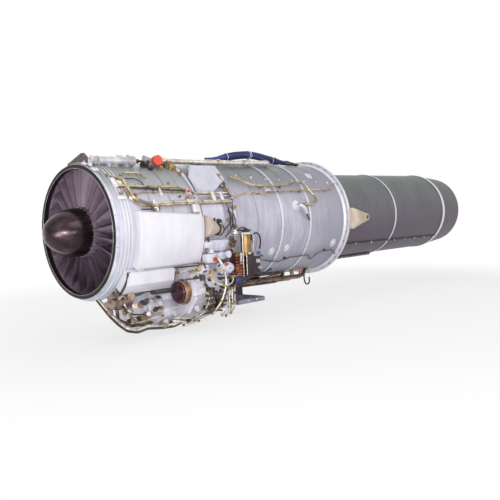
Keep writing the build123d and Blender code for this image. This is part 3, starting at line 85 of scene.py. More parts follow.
# Studio: a plain white floor under the engine, white air round it and broad soft lamps.
# A long low strip and a flash draw the highlight along the port side.
# Two more lamps light the mouth of the intake.
class Shade:
    """A socket in a node tree. Operators on it add Math nodes, and node() adds any other node."""

    def __init__(self, tree, socket=None):
        self.tree, self.socket = tree, socket

    def node(self, kind, settings=None, sockets=None, out=0):
        """Adds one node: its settings are set first, then the values or links of its sockets."""
        made = self.tree.nodes.new(kind if "Node" in kind else "ShaderNode" + kind)
        for key, value in (settings or {}).items():
            setattr(made, key, value)
        for key, value in (sockets or {}).items():
            if isinstance(value, Shade):
                self.tree.links.new(value.socket, made.inputs[key])
            else:
                made.inputs[key].default_value = (*value, 1) if made.inputs[key].type == "RGBA" else value
        return Shade(self.tree, made.outputs[out]) if len(made.outputs) else None

    def maths(self, operation, *terms):
        return self.node("Math", {"operation": operation}, dict(enumerate(terms)))

    def __add__(self, other):
        return self.maths("ADD", self, other)

    def __sub__(self, other):
        return self.maths("SUBTRACT", self, other)

    def __rsub__(self, other):
        return self.maths("SUBTRACT", other, self)

    def __mul__(self, other):
        return self.maths("MULTIPLY", self, other)

    def __truediv__(self, other):
        return self.maths("DIVIDE", self, other)

    def __pow__(self, other):
        return self.maths("POWER", self, other)

    __radd__ = __add__
    __rmul__ = __mul__

    def step(self, low, high):
        """0 at low, 1 at high and smooth between; low may be the larger."""
        return self.node("MapRange", {"interpolation_type": "SMOOTHSTEP"},
                         {0: self, 1: low, 2: high, 3: 0.0, 4: 1.0})

    def near(self, middle, reach):
        """1 at the middle, falling to 0 at the reach from it."""
        apart = self - middle
        return apart.maths("ABSOLUTE", apart).step(reach, reach * 0.4)

    def blend(self, first, second):
        """The first colour where this is 0 and the second where it is 1: each a Shade or a screen colour."""
        first, second = (value if isinstance(value, Shade) else colour(*value) for value in (first, second))
        return self.node("Mix", {"data_type": "RGBA"}, {0: self, 6: first, 7: second}, out=2)

    def axes(self):
        """The three parts of a place, and how far it is from the engine's axis."""
        x, y, z = (self.node("SeparateXYZ", {}, {0: self}, out=k) for k in range(3))
        return x, y, z, (y * y + z * z) ** 0.5

    def noise(self, place, scale, stretch=(1, 1, 1), detail=5.0, rough=0.55):
        """Cloudy noise over a place, finer by each factor of stretch along that axis."""
        sized = self.node("VectorMath", {"operation": "MULTIPLY"}, {0: place, 1: stretch})
        return self.node("TexNoise", {},
                         {"Vector": sized, "Scale": scale, "Detail": detail, "Roughness": rough})


def colour(red, green, blue):
    """A screen colour of 0 to 255 as linear light."""
    return tuple(((v / 255 + 0.055) / 1.055) ** 2.4 if v > 10 else v / 255 / 12.92
                 for v in (red, green, blue))


def seen_by_eye(start):
    """1 for what the camera sees directly, in a reflection or through glass."""
    rays = start.node("LightPath", out=0) + start.node("LightPath", out=3) + start.node("LightPath", out=6)
    return rays.maths("MINIMUM", rays, 1.0)


shadow_share = 0.3
shadow_fade = 2.3, 4.3
floor_drop = 0.02
floor_reach = 60
floor_paint = bpy.data.materials.new("studio_floor")
floor_paint.use_nodes = True
floor_paint.node_tree.nodes.clear()
ground = Shade(floor_paint.node_tree)
across = ground.node("VectorMath", {"operation": "SUBTRACT"},
                     {0: ground.node("TexCoord", {}, {}, out=3), 1: (2.0, 0.0, cad_box[0][2])})
far = ground.node("VectorMath", {"operation": "LENGTH"}, {0: across}, out=1).step(*shadow_fade)
ground.node("OutputMaterial", {}, {"Surface": ground.node("MixShader", {}, {
    0: seen_by_eye(ground) * (far * shadow_share + (1 - shadow_share)),
    1: ground.node("BsdfDiffuse", {}, {"Color": (0.86, 0.86, 0.86)}),
    2: ground.node("Emission", {}, {"Color": (1.0, 1.0, 1.0), "Strength": 1.0})})})
floor_mesh = bpy.data.meshes.new("floor")
floor_mesh.from_pydata([(x * floor_reach, y * floor_reach, cad_box[0][2] - floor_drop)
                        for x, y in ((-1, -1), (1, -1), (1, 1), (-1, 1))], [], [(0, 1, 2, 3)])
floor_mesh.materials.append(floor_paint)
floor = bpy.data.objects.new("floor", floor_mesh)
bpy.context.scene.collection.objects.link(floor)

world = bpy.data.worlds.new("white_air")
bpy.context.scene.world = world
world.use_nodes = True
world.node_tree.nodes.clear()
air = Shade(world.node_tree)
air.node("OutputWorld", {}, {"Surface": air.node("MixShader", {}, {
    0: seen_by_eye(air),
    1: air.node("Background", {}, {"Color": (1.0, 1.0, 1.0), "Strength": 0.33}),
    2: air.node("Background", {}, {"Color": (1.0, 1.0, 1.0), "Strength": 1.0})})})


def soft_lamp(name, place, target, width, height, power):
    """A broad lamp aimed at a point."""
    lamp = bpy.data.objects.new(name, bpy.data.lights.new(name, "AREA"))
    bpy.context.scene.collection.objects.link(lamp)
    lamp.data.shape, lamp.data.energy, lamp.data.size, lamp.data.size_y = "RECTANGLE", power, width, height
    lamp.matrix_world = (Matrix.Translation(place) @
                         (Vector(place) - Vector(target)).to_track_quat("Z", "Y").to_matrix().to_4x4())


soft_lamp("key", (0.2, -5.0, 4.2), (1.4, 0, 0), 4.0, 3.0, 92)
soft_lamp("fill", (5.5, -5.5, 1.6), (2.4, 0, 0), 4.0, 4.0, 78)
soft_lamp("top", (2.0, 0.6, 5.0), (2.0, 0, 0), 4.5, 4.5, 60)
soft_lamp("back", (4.5, 5.0, 2.6), (2.2, 0, 0), 4.0, 4.0, 140)
soft_lamp("strip", (-2.7, -4.4, 0.26), (0.2, 0, 0.0), 5.0, 0.2, 130)
soft_lamp("flash", (-2.6, -3.9, 0.24), (0.0, 0, 0.0), 0.9, 0.14, 44)
soft_lamp("intake", (-2.6, -1.7, -0.75), (0, 0, -0.3), 1.2, 0.8, 48)
soft_lamp("far intake", (-1.2, 1.9, -0.5), (0.15, 0, -0.35), 2.4, 2.4, 22)


# Inlet ring: a spun alloy lip, black-brown on its face and bore and pale enamel outside.
# A bright plated bead round the bore is a painted highlight for the lip's inner edge, and screws hold the ring
# to the casing behind it.
def surface(name, recipe, **fixed):
    """A material whose recipe returns its changing sockets; fixed ones are set on the shader itself."""
    material = bpy.data.materials.new(name)
    material.use_nodes = True
    tree = material.node_tree
    tree.nodes.clear()
    start = Shade(tree)
    sockets = recipe(start, start.node("TexCoord", {}, {}, out=3))
    height = sockets.pop("Height", None)
    if height:
        sockets["Normal"] = start.node("Bump", {}, {"Height": height, "Strength": sockets.pop("Bump", 0.3),
                                                    "Distance": 0.002})
    sockets.update({key.replace("_", " "): value for key, value in fixed.items()})
    start.node("OutputMaterial", {}, {"Surface": start.node("BsdfPrincipled", {}, sockets)})
    return material


def dress(material, *names):
    """Gives a CAD node its finish."""
    for name in names:
        nodes[name].data.materials.clear()
        nodes[name].data.materials.append(material)


def linked(name, data):
    """A new object at the origin, in the scene."""
    made = bpy.data.objects.new(name, data)
    bpy.context.scene.collection.objects.link(made)
    return made


def keep(name, mesh, material, body):
    """A finished piece: its material, soft shading and the body that it rides on."""
    mesh.materials.clear()
    mesh.materials.append(material)
    mesh.polygons.foreach_set("material_index", [0] * len(mesh.polygons))
    mesh.polygons.foreach_set("use_smooth", [True] * len(mesh.polygons))
    mesh.set_sharp_from_angle(angle=radians(40))
    piece = linked(name, mesh)
    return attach(piece, body)


def plain_mesh(carrier):
    """The mesh that an object's curve or modifiers make; the object itself is then removed."""
    bpy.context.view_layer.update()
    mesh = bpy.data.meshes.new_from_object(carrier.evaluated_get(bpy.context.evaluated_depsgraph_get()))
    bpy.data.objects.remove(carrier)
    return mesh


def at(x, clock, radius):
    """The place at a station, clock angle and radius in millimetres."""
    a = radians(clock)
    return Vector((x, -radius * sin(a), radius * cos(a))) * 0.001


def hoop(x, radius, start=0, end=360):
    """Places round the engine; a full hoop ends where it began."""
    steps = ceil(abs(end - start) / 3)
    return [at(x, start + (end - start) * k / steps, radius) for k in range(steps + 1)]


def studs_tree(name, along):
    """A tree that sets a tapered head at each pitch of its paths, or a collar round them if along is set."""
    tree = bpy.data.node_groups.new(name, "GeometryNodeTree")
    tree.interface.new_socket("Geometry", in_out="INPUT", socket_type="NodeSocketGeometry")
    for label, kind in (("Pitch", "Float"), ("Radius", "Float"), ("Height", "Float"), ("Taper", "Float"),
                        ("Sides", "Int"), ("Lean", "Float"), ("Forward", "Float"), ("Material", "Material")):
        tree.interface.new_socket(label, in_out="INPUT", socket_type="NodeSocket" + kind)
    tree.interface.new_socket("Geometry", in_out="OUTPUT", socket_type="NodeSocketGeometry")
    given = {socket.name: Shade(tree, socket) for socket in tree.nodes.new("NodeGroupInput").outputs}
    start = Shade(tree)
    curve = start.node("GeometryNodeMeshToCurve", {}, {"Mesh": given["Geometry"]})
    spots = start.node("GeometryNodeResampleCurve", {"mode": "LENGTH"},
                       {"Curve": curve, "Length": given["Pitch"]})
    if along:
        aim = start.node("GeometryNodeInputTangent")
        head = start.node("GeometryNodeMeshCylinder", {}, {
            "Vertices": given["Sides"], "Radius": given["Radius"], "Depth": given["Height"]})
    else:
        out = start.node("VectorMath", {"operation": "MULTIPLY"},
                         {0: start.node("GeometryNodeInputPosition"), 1: (0.0, 1.0, 1.0)})
        out = start.node("VectorMath", {"operation": "NORMALIZE"}, {0: out})
        out = start.node("VectorMath", {"operation": "SCALE"}, {0: out, "Scale": given["Lean"]})
        aim = start.node("VectorMath", {"operation": "ADD"},
                         {0: out, 1: start.node("CombineXYZ", {}, {0: given["Forward"]})})
        head = start.node("GeometryNodeMeshCone", {}, {
            "Vertices": given["Sides"], "Radius Bottom": given["Radius"],
            "Radius Top": given["Radius"] * given["Taper"], "Depth": given["Height"]})
    turn = start.node("FunctionNodeAlignRotationToVector", {"axis": "Z"}, {"Vector": aim})
    placed = start.node("GeometryNodeInstanceOnPoints", {},
                        {"Points": spots, "Instance": head, "Rotation": turn})
    real = start.node("GeometryNodeRealizeInstances", {}, {0: placed})
    painted = start.node("GeometryNodeSetMaterial", {}, {"Geometry": real, "Material": given["Material"]})
    tree.links.new(painted.socket, tree.nodes.new("NodeGroupOutput").inputs[0])
    return tree


head_tree = studs_tree("heads_on_paths", False)
collar_tree = studs_tree("collars_on_paths", True)


def grown(name, tree, paths, material, body="engine", pitch=40, radius=4, height=3, taper=0.8, sides=6,
          lean=1.0, forward=0.0):
    """Runs a tree along paths of places and keeps the result as a plain mesh; sizes are in millimetres."""
    places, edges = [], []
    for path in paths:
        first, closed = len(places), (path[0] - path[-1]).length < 1e-6
        run = path[:-1] if closed else path
        places += run
        edges += [(first + k, first + k + 1) for k in range(len(run) - 1)]
        if closed:
            edges.append((first + len(run) - 1, first))
    mesh = bpy.data.meshes.new(name)
    mesh.from_pydata(places, edges, [])
    carrier = linked(name + "_paths", mesh)
    modifier = carrier.modifiers.new("grow", "NODES")
    modifier.node_group = tree
    values = {"Pitch": pitch * 0.001, "Radius": radius * 0.001, "Height": height * 0.001, "Taper": taper,
              "Sides": sides, "Lean": lean, "Forward": forward, "Material": material}
    for socket in tree.interface.items_tree:
        if socket.in_out == "INPUT" and socket.name in values:
            modifier[socket.identifier] = values[socket.name]
    return keep(name, plain_mesh(carrier), material, body)


def pipework(name, material, slot, *runs, body="engine", sides=10):
    """Bent pipes as one plain mesh: each run is a radius in millimetres and the places along its middle."""
    curve = bpy.data.curves.new(name, "CURVE")
    curve.dimensions, curve.bevel_depth, curve.bevel_resolution = "3D", 1.0, sides // 2 - 2
    curve.use_fill_caps = True
    for radius, places in runs:
        closed = (places[0] - places[-1]).length < 1e-6
        places = places[:-1] if closed else places
        line = curve.splines.new("POLY")
        line.points.add(len(places) - 1)
        line.use_cyclic_u = closed
        for point, place in zip(line.points, places):
            point.co, point.radius = (*place, 1), radius * 0.001
    return keep(name, plain_mesh(linked(name + "_line", curve)), material, body)


def brushed(light, dark, rough, metal, stretch=(1.0, 1.0, 1.0), scale=40.0, bump=0.15):
    """Worked metal with lines along one direction and a cloudy stain."""
    def recipe(shade, place):
        line = shade.noise(place, scale, stretch, rough=0.6)
        stain = shade.noise(place, 6.0)
        return {"Base Color": (line * 0.5 + stain * 0.5).step(0.34, 0.66).blend(dark, light),
                "Roughness": rough + (line - 0.5) * 0.3 + (stain - 0.5) * 0.15, "Metallic": metal,
                "Height": line, "Bump": bump}
    return recipe


def lip_paint(shade, place):
    """Black-brown on the face and in the bore, rubbed a little, and pale on the outside."""
    x, y, z, radius = place.axes()
    cloud = shade.noise(place, 14.0)
    fine = shade.noise(place, 150.0, detail=2.0)
    dark = (cloud * 0.7 + fine * 0.3).step(0.4, 0.7).blend((13, 5, 9), (28, 16, 22))
    pale = cloud.step(0.35, 0.7).blend((176, 176, 186), (208, 207, 216))
    outside = radius.step(0.4508, 0.4524) * x.step(0.004, 0.006)
    return {"Base Color": outside.blend(dark, pale), "Roughness": 0.48 + fine * 0.12,
            "Height": fine, "Bump": 0.12}


plated = surface("plated_steel", brushed((206, 203, 200), (140, 134, 130), 0.32, 0.9, scale=60.0))
dress(surface("lip_paint", lip_paint, Specular_IOR_Level=0.25), "inlet_ring")
# Painted highlight: a bright steel bead where the lip's inner edge catches the light.
pipework("lip_highlight_bead", plated, "bolt_steel", (1.4, hoop(2.0, 426)))
grown("lip_screws", head_tree, [hoop(17, 452)], plated, pitch=203, radius=6, height=4,
    sides=12)

# Front casing: a welded skin in pale enamel, nearly white beside the tank, with painted green-grey shade on top
# and painted blue shade below.
# Seam bands and rows of rivets run round it, and its ribs and flanges are rubbed bright.
def skin_paint(light, dark, top, under, radius_r, seams=(), flange=(222, 220, 228), grime=0.35):
    """Enamel on a round casing: clouds, streaks that run round, grime by the seams, bright raised edges, and
    painted shade on top and below.
    """
    def recipe(shade, place):
        x, y, z, radius = place.axes()
        cloud = shade.noise(place, 4.0)
        streak = shade.noise(place, 6.0, (5.0, 0.7, 0.7), rough=0.65)
        speck = shade.noise(place, 60.0, detail=4.0, rough=0.7)
        fine = shade.noise(place, 170.0, detail=2.0)
        paint = (cloud * 0.45 + streak * 0.55).step(0.36, 0.64).blend(dark, light)
        # Painted shade: darker green-grey on top and bluer below, for how the light falls on the casing.
        paint = (z.step(0.16, 0.4) * 0.9).blend(paint, top)
        paint = (z.step(-0.12, -0.42) * 0.8).blend(paint, under)
        lines = sum((x.near(seam * 0.001, 0.011) for seam in seams), speck * 0.0)
        dirt = lines * (streak * 0.9 + 0.1) * grime + speck.step(0.66, 0.76) * 0.5
        paint = dirt.maths("MINIMUM", dirt, 0.7).blend(paint, (86, 74, 70))
        raised = radius.step(radius_r * 0.001 + 0.0025, radius_r * 0.001 + 0.004)
        paint = (x.step(1.75, 2.3) * 0.8).blend(paint, (146, 144, 158))
        paint = radius.step(0.436, 0.432).blend((raised * 0.8).blend(paint, flange), (40, 26, 33))
        return {"Base Color": paint,
                "Roughness": 0.4 + (streak - 0.5) * 0.3 + fine * 0.06, "Metallic": raised * 0.3,
                "Height": fine * 0.4 + cloud * 0.6, "Bump": 0.2}
    return recipe


front_r, rear_r, jet_r = 470, 477, 403
mid_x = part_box("fan_casing")[1].x * 1000
combustor_x, turbine_x, exhaust_x, main_x = (
    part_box(node)[0].x * 1000 for node in ("combustor_casing", "turbine_casing", "exhaust_casing", "jet_pipe"))
front_enamel = surface("front_casing_enamel", skin_paint((194, 193, 203), (172, 171, 184), (128, 132, 130),
    (178, 184, 198), front_r, (300, 470, mid_x)))
dress(front_enamel, "fan_casing")
pipework("front_casing_bands", front_enamel, "pale_casing",
    *[(2.0, hoop(x, front_r + 0.5)) for x in (300, 308, 470, 478, 596)])
rivet_alloy = surface("rivet_alloy", brushed((188, 186, 192), (130, 126, 132), 0.42, 0.6, scale=80.0))
grown("front_casing_rivets", head_tree, [hoop(x, front_r - 0.2) for x in (291, 317, 461, 487, 640)],
    rivet_alloy, pitch=31, radius=3.2, height=2.2, taper=0.5, sides=8)

# Rear casings: rings of rolled sheet in lavender-grey enamel, bolted flange to flange.
# Each bolt row stands on the front face of its flange, clear of the joint, as small hexagon heads.
# The fourth and fifth colours are painted shade: green-grey on top and blue below.
rear_enamel = surface("rear_casing_enamel", skin_paint((186, 183, 197), (156, 153, 169), (112, 116, 116),
    (146, 150, 164), rear_r, (mid_x, combustor_x, 1290, turbine_x, exhaust_x, main_x)))
dress(rear_enamel, "intermediate_casing", "combustor_casing", "turbine_casing", "exhaust_casing")
grown("flange_heads", head_tree, [hoop(x - 5, r) for x,
    r in ((mid_x, 482), (combustor_x, 487), (turbine_x, 486), (exhaust_x, 486))], plated,
    pitch=46, radius=4.6, height=5, lean=0.0, forward=-1.0)
grown("seam_rivets", head_tree, [hoop(x, rear_r - 0.2) for x in (1276, 1304, 1650, 2060, 2075, 2360)],
    rivet_alloy, pitch=34, radius=3.2, height=2.2, taper=0.5, sides=8)
pipework("seam_beads", rear_enamel, "pale_casing",
    *[(2.2, hoop(x, rear_r)) for x in (880, 1160, 1420, 1730, 1745, 2190, 2205)])
grown("main_flange_rim_heads", head_tree, [hoop(2420, 506), hoop(2442, 506)], plated, pitch=88,
    radius=5.5, height=5)


# Nose bullet: a spun shell in dark brown metallic enamel, held by a ring of countersunk screws.
# It turns with the fan.
def glossy(light, dark, gloss, scale=9.0, stretch=(0.4, 1.0, 1.0)):
    """Smooth enamel with a very slight cloud and dust in its grain."""
    def recipe(shade, place):
        cloud = shade.noise(place, scale, stretch)
        fine = shade.noise(place, 260.0, detail=2.0)
        return {"Base Color": cloud.step(0.35, 0.65).blend(dark, light),
                "Roughness": gloss + cloud * 0.1 + (fine - 0.5) * 0.05, "Height": fine, "Bump": 0.05}
    return recipe


dress(surface("bullet_enamel", glossy((82, 66, 70), (46, 36, 40), 0.2), Metallic=0.85,
    Specular_IOR_Level=0.5), "nose_bullet")
grown("bullet_screws", head_tree, [hoop(24, 163.5)], plated, body="low_spool", pitch=42.5,
    height=3.2, sides=10, taper=0.9)


# Fan: forged blades on a turned hub, in a purple-grey finish brushed from root to tip.
# Painted shade darkens the metal in the roots and behind, where the casing shades it, and on the upper blades.
def blade_metal(shade, place):
    """Streaks that run out from the hub, with painted shade towards the hub, behind the front edge and on the
    upper blades.
    """
    x, y, z, radius = place.axes()
    around = shade.node("VectorMath", {"operation": "MULTIPLY"}, {0: place, 1: (0.0, 1.0, 1.0)})
    around = shade.node("VectorMath", {"operation": "NORMALIZE"}, {0: around})
    ray = shade.noise(around, 34.0, rough=0.6)
    stain = shade.noise(place, 9.0)
    # Painted shade in the roots and behind the front edge.
    root_shade = x.step(0.08, 0.16) * 0.35 + radius.step(0.22, 0.16) * 0.2
    metal = (ray * 0.65 + stain * 0.35).step(0.38, 0.62).blend((96, 76, 92), (168, 150, 168))
    # Painted shade: the upper blades are darkened.
    shaded = z.step(-0.15, 0.3) * 0.85
    metal = shaded.blend(metal, (78, 60, 74))
    return {"Base Color": root_shade.blend(metal, (40, 27, 36)), "Roughness": 0.36 + ray * 0.25, "Metallic": 0.3,
            "Height": ray, "Bump": 0.12}


dress(surface("fan_metal", blade_metal), "fan_rotor")


# Jet pipe and nozzle shroud: long rolled tubes in dark green-grey heat paint with a painted purple reflection
# below, with bright machined rings, a lengthwise seam and clips for a thin conduit.
def heat_paint(light, dark, reflection_tint, ring_r, bore_r, bare):
    """Dull heat-proof paint with a painted purple reflection on its lower side, and bare metal on what stands
    proud of it.
    """
    def recipe(shade, place):
        x, y, z, radius = place.axes()
        proud = radius.step(ring_r * 0.001, ring_r * 0.001 + 0.002)
        inside = radius.step(bore_r * 0.001 + 0.001, bore_r * 0.001 - 0.001)
        cloud = shade.noise(place, 4.0, detail=6.0)
        streak = shade.noise(place, 6.0, (3.2, 0.8, 0.8))
        fine = shade.noise(place, 180.0, detail=2.0)
        # Painted reflection: the lower side is tinted purple.
        under = (cloud * 0.3 - z).step(-0.2, 0.4)
        paint = (cloud * 0.5 + streak * 0.5).step(0.35, 0.66).blend(dark, light)
        paint = (under * 0.85).blend(paint, reflection_tint)
        paint = inside.blend(paint, (58, 46, 44))
        return {"Base Color": proud.blend(paint, bare), "Metallic": proud * 0.7 + 0.08,
                "Roughness": 0.44 + (streak - 0.5) * 0.3 - proud * 0.1 + fine * 0.06,
                "Height": fine * 0.4 + streak * 0.6, "Bump": 0.22}
    return recipe


pipe_paint = surface("jet_pipe_paint", heat_paint((104, 108, 106), (76, 81, 83), (80, 66, 84), 405.2, 398,
    (214, 212, 217)))
dress(pipe_paint, "jet_pipe")
shroud_paint = surface("nozzle_shroud_paint", heat_paint((96, 99, 98), (68, 72, 74), (76, 62, 78), 600, 340,
    (205, 203, 208)))
dress(shroud_paint, "nozzle_shroud")
pipework("jet_pipe_seam", pipe_paint, "jet_pipe_paint",
    *[(1.6, [at(x0, clock, jet_r), at(x1, clock, jet_r)]) for x0, x1,
    clock in ((2462, 3380, 318), (3415, 4400, 305))], sides=6)
grown("jet_pipe_rivets", head_tree, [hoop(x, jet_r - 0.2) for x in (2480, 3372, 3422, 4400)], rivet_alloy,
    pitch=36, radius=2.8, height=1.8, taper=0.5, sides=8)

# Inner rotors, walls and nozzle parts: bare steel and alloy, browner and bluer towards the flame.
# They are turned, welded or rolled, and the shafts are ground where they run in the bearings.
dress(surface("compressor_metal", brushed((176, 172, 176), (120, 117, 124), 0.35, 0.9)),
    "high_compressor_rotor", "high_stator_case")
# Painted light: the front stages are a light purple-grey so that the shaded gaps between the lower fan blades
# read lit.
dress(surface("front_stage_painted_light", brushed((150, 132, 148), (100, 82, 96), 0.5, 0.1)), "low_stator_case",
    "low_compressor_rotor")
dress(surface("hot_section_metal", brushed((186, 164, 146), (112, 96, 92), 0.5, 0.35, scale=22.0)),
    "inner_casing", "combustor_liner", "turbine_nozzles", "high_turbine", "low_turbine", "tail_cone",
    "spray_manifold", "flame_holder", "jet_pipe_liner", "fuel_manifold", "nozzle_ring", "nozzle_actuators")
dress(surface("flap_metal", brushed((178, 158, 146), (108, 98, 106), 0.42, 0.35, (0.5, 3.0, 3.0), 16.0)),
    *[f"nozzle_flap_{n + 1}" for n in range(8)])
dress(surface("ground_steel", brushed((196, 196, 198), (150, 150, 154), 0.25, 1.0, (40, 1, 1), 8.0)),
    "low_shaft", "high_shaft", "bearings")
dress(plated, "flange_bolts", "plugs")


# Saddle oil tank and the cooler box under it: folded sheet in white enamel.
# Rolled edges, two bands and small rivets finish the tank, and bolted hangers hold it to the casing.
def worn_paint(light, dark, gloss=0.42, metal=0.0, grain=0.25, wear=(187.5, 187.5, 190.8), wear_share=0.12):
    """Paint with cloudy shade, streaks that run down, small rubbed spots and a fine orange-peel skin."""
    def recipe(shade, place):
        cloud = shade.noise(place, 5.0)
        streak = shade.noise(place, 7.0, (3.0, 3.0, 0.35), detail=4.0)
        fine = shade.noise(place, 160.0, detail=2.0)
        tone = (cloud * 0.6 + streak * 0.4).step(0.32, 0.68)
        spots = shade.noise(place, 38.0, detail=6.0, rough=0.7) * 0.75 + fine * 0.25
        rubbed = spots.step(0.78 - wear_share, 0.84 - wear_share)
        return {"Base Color": rubbed.blend(tone.blend(dark, light), wear),
                "Roughness": gloss + (streak - 0.5) * 0.25 + fine * 0.08,
                "Metallic": rubbed * (0.7 - metal) + metal, "Height": fine * 0.5 + cloud * 0.5, "Bump": grain}
    return recipe


def mm(*numbers):
    """A place given in millimetres."""
    return Vector(numbers) * 0.001


def turned(foot, aim, sides, *outline):
    """The places and faces of an outline turned about an aim from its foot.

    The outline is one list of heights and radii, or the height of each slope and then each radius and the
    height where it ends.
    """
    if isinstance(outline[0], list):
        rings = outline[0]
    else:
        rings, height = [], 0
        for radius, end in zip(outline[1::2], outline[2::2]):
            rings += [(height, radius), (end, radius)] if end > height else [(height, radius)]
            height = end + outline[0]
    aim = Vector(aim).normalized()
    u = aim.orthogonal().normalized()
    v = aim.cross(u)
    spokes = [u * cos(2 * pi * k / sides) + v * sin(2 * pi * k / sides) for k in range(sides)]
    last = (len(rings) - 1) * sides
    return ([foot + 0.001 * (aim * h + r * spoke) for h, r in rings for spoke in spokes],
            walls(len(rings), sides) + [tuple(reversed(range(sides))), tuple(range(last, last + sides))])


def walls(rings, sides):
    """The faces between rings of places."""
    return [(j + k, j + (k + 1) % sides, j + sides + (k + 1) % sides, j + sides + k)
            for j in range(0, (rings - 1) * sides, sides) for k in range(sides)]


def block(middle, length, width, height, cut, out=(0, -1, 0)):
    """The places and faces of a block that faces out, with its length along the engine and its edges cut."""
    n = Vector(out).normalized()
    t = (Vector((1, 0, 0)) - n * n.x).normalized()
    s = n.cross(t)
    a, b, c = length / 2, width / 2, height / 2
    cut = min(cut, a * 0.4, b * 0.4, c * 0.4)
    loop = [(a - cut, b), (-a + cut, b), (-a, b - cut), (-a, -b + cut), (-a + cut, -b), (a - cut, -b),
            (a, -b + cut), (a, b - cut)]
    places = [middle + 0.001 * (t * copysign(abs(p) - inset, p) + s * copysign(abs(q) - inset, q) + n * h)
              for h, inset in ((-c, cut), (-c + cut, 0), (c - cut, 0), (c, cut)) for p, q in loop]
    return places, walls(4, 8) + [tuple(reversed(range(8))), tuple(range(24, 32))]


def fitted(name, material, pads=(), stubs=(), blocks=(), spun=()):
    """Blocks and turned shapes as one plain mesh, with sizes in millimetres.

    A pad or stub starts with its station, clock angle and radius, and faces away from the engine's axis.
    A pad ends with its length, width, height and edge cut. A stub ends with its sides and its outline.
    The rows of blocks and spun shapes are those of block() and turned().
    """
    shapes = [block(at(*row[:3]), *row[3:], out_at(row[1])) for row in pads]
    shapes += [turned(at(*row[:3]), out_at(row[1]), *row[3:]) for row in stubs]
    shapes += [block(*row) for row in blocks] + [turned(*row) for row in spun]
    places, faces = [], []
    for spots, sheets in shapes:
        faces += [tuple(len(places) + k for k in sheet) for sheet in sheets]
        places += spots
    mesh = bpy.data.meshes.new(name)
    mesh.from_pydata(places, [], faces)
    return keep(name, mesh, material, "engine")


def out_at(clock):
    """The direction away from the engine's axis at a clock angle."""
    return at(0, clock, 1000)


def rounded(corners, bend):
    """A path through corners that each turn over the length of the bend."""
    path = [corners[0]]
    for before, corner, after in zip(corners, corners[1:], corners[2:]):
        into, out = before - corner, after - corner
        reach = min(bend, into.length * 0.45, out.length * 0.45)
        a, c = corner + into.normalized() * reach, corner + out.normalized() * reach
        path += [a * (1 - t) ** 2 + corner * 2 * t * (1 - t) + c * t * t for t in (0, 0.25, 0.5, 0.75, 1)]
    return path + [corners[-1]]


def route(*stops, bend=16):
    """A rounded path round the engine through stops of station, clock angle and radius."""
    path = rounded([Vector((x, radians(clock) * r, r)) for x, clock, r in stops], bend)
    fine = [path[0]]
    for a, b in zip(path, path[1:]):
        parts = ceil(abs(b.y / b.z - a.y / a.z) / 0.07) or 1
        fine += [a.lerp(b, (k + 1) / parts) for k in range(parts)]
    return [mm(p.x, -p.z * sin(p.y / p.z), p.z * cos(p.y / p.z)) for p in fine]


def bent(*corners, bend=14):
    """A rounded path through corners given as x, y and z in millimetres."""
    return [p * 0.001 for p in rounded([Vector(corner) for corner in corners], bend)]


white_enamel = surface("white_enamel", worn_paint((212, 210, 217), (199, 197, 206), 0.45, wear_share=0.03))
dress(white_enamel, "oil_tank", "oil_cooler")
tank_r = 526
pipework("tank_rolled_edges", white_enamel, "pale_paint", (3.5, route((157, 77, tank_r - 2),
    (157, 119, tank_r - 2))), (3.5, route((684, 83, tank_r - 2), (684, 119, tank_r - 2))),
    (2.2, route((300, 79, tank_r), (300, 119, tank_r))), (2.2, route((560, 82, tank_r), (560, 119, tank_r))))
grown("tank_rivets", head_tree, [route((172, 77.5, tank_r - 0.3), (172, 118, tank_r - 0.3)),
    route((668, 83.5, tank_r - 0.3), (668, 118, tank_r - 0.3))], rivet_alloy, pitch=26,
    radius=2.4, height=1.4, taper=0.5, sides=8)
bracket_alloy = surface("bracket_alloy", worn_paint((222, 220, 222), (186, 183, 186), 0.36, 0.3))
fitted("tank_hangers", bracket_alloy, pads=[(318, 72, 490, 34, 78, 20, 4),
    (660, 73.5, 494, 62, 96, 26, 5), (640, 124, 486, 40, 50, 22, 4), (210, 124, 486, 40, 50, 22, 4)],
    stubs=[(318, 72, 500, 6, 0.5, 7, 5, 4, 12), (660, 76, 506, 6, 0.5, 8, 5, 4, 12),
    (660, 71, 506, 6, 0.5, 8, 5, 4, 12)])

# Unit cover: a pressed lid with two hatch plates, in light enamel.
# Captive screws run along its edges, and two black knobs stand at its lower edge.
cover_paint = surface("cover_paint", worn_paint((206, 205, 217), (186, 184, 199), 0.42, wear_share=0.05))
dress(cover_paint, "unit_cover")
dark_plastic = surface("dark_plastic", glossy((46, 38, 44), (24, 17, 22), 0.4))
grown("cover_screws", head_tree, [route((735, 33.5, 506), (1025, 33.5, 506)), route((735, 60.5, 506),
    (1025, 60.5, 506)), route((733, 74.5, 484), (917, 74.5, 484)), route((733, 86, 484), (917, 86, 484))],
    plated, pitch=44, radius=4.2, height=3.4)
fitted("cover_knobs", dark_plastic,
    stubs=[(862, 86.7, 478, 16, [(0, 17), (11, 17), (14, 13), (15, 0.5)]),
    (885, 86.7, 478, 16, [(0, 13), (9, 13), (11, 10), (12, 0.5)])])

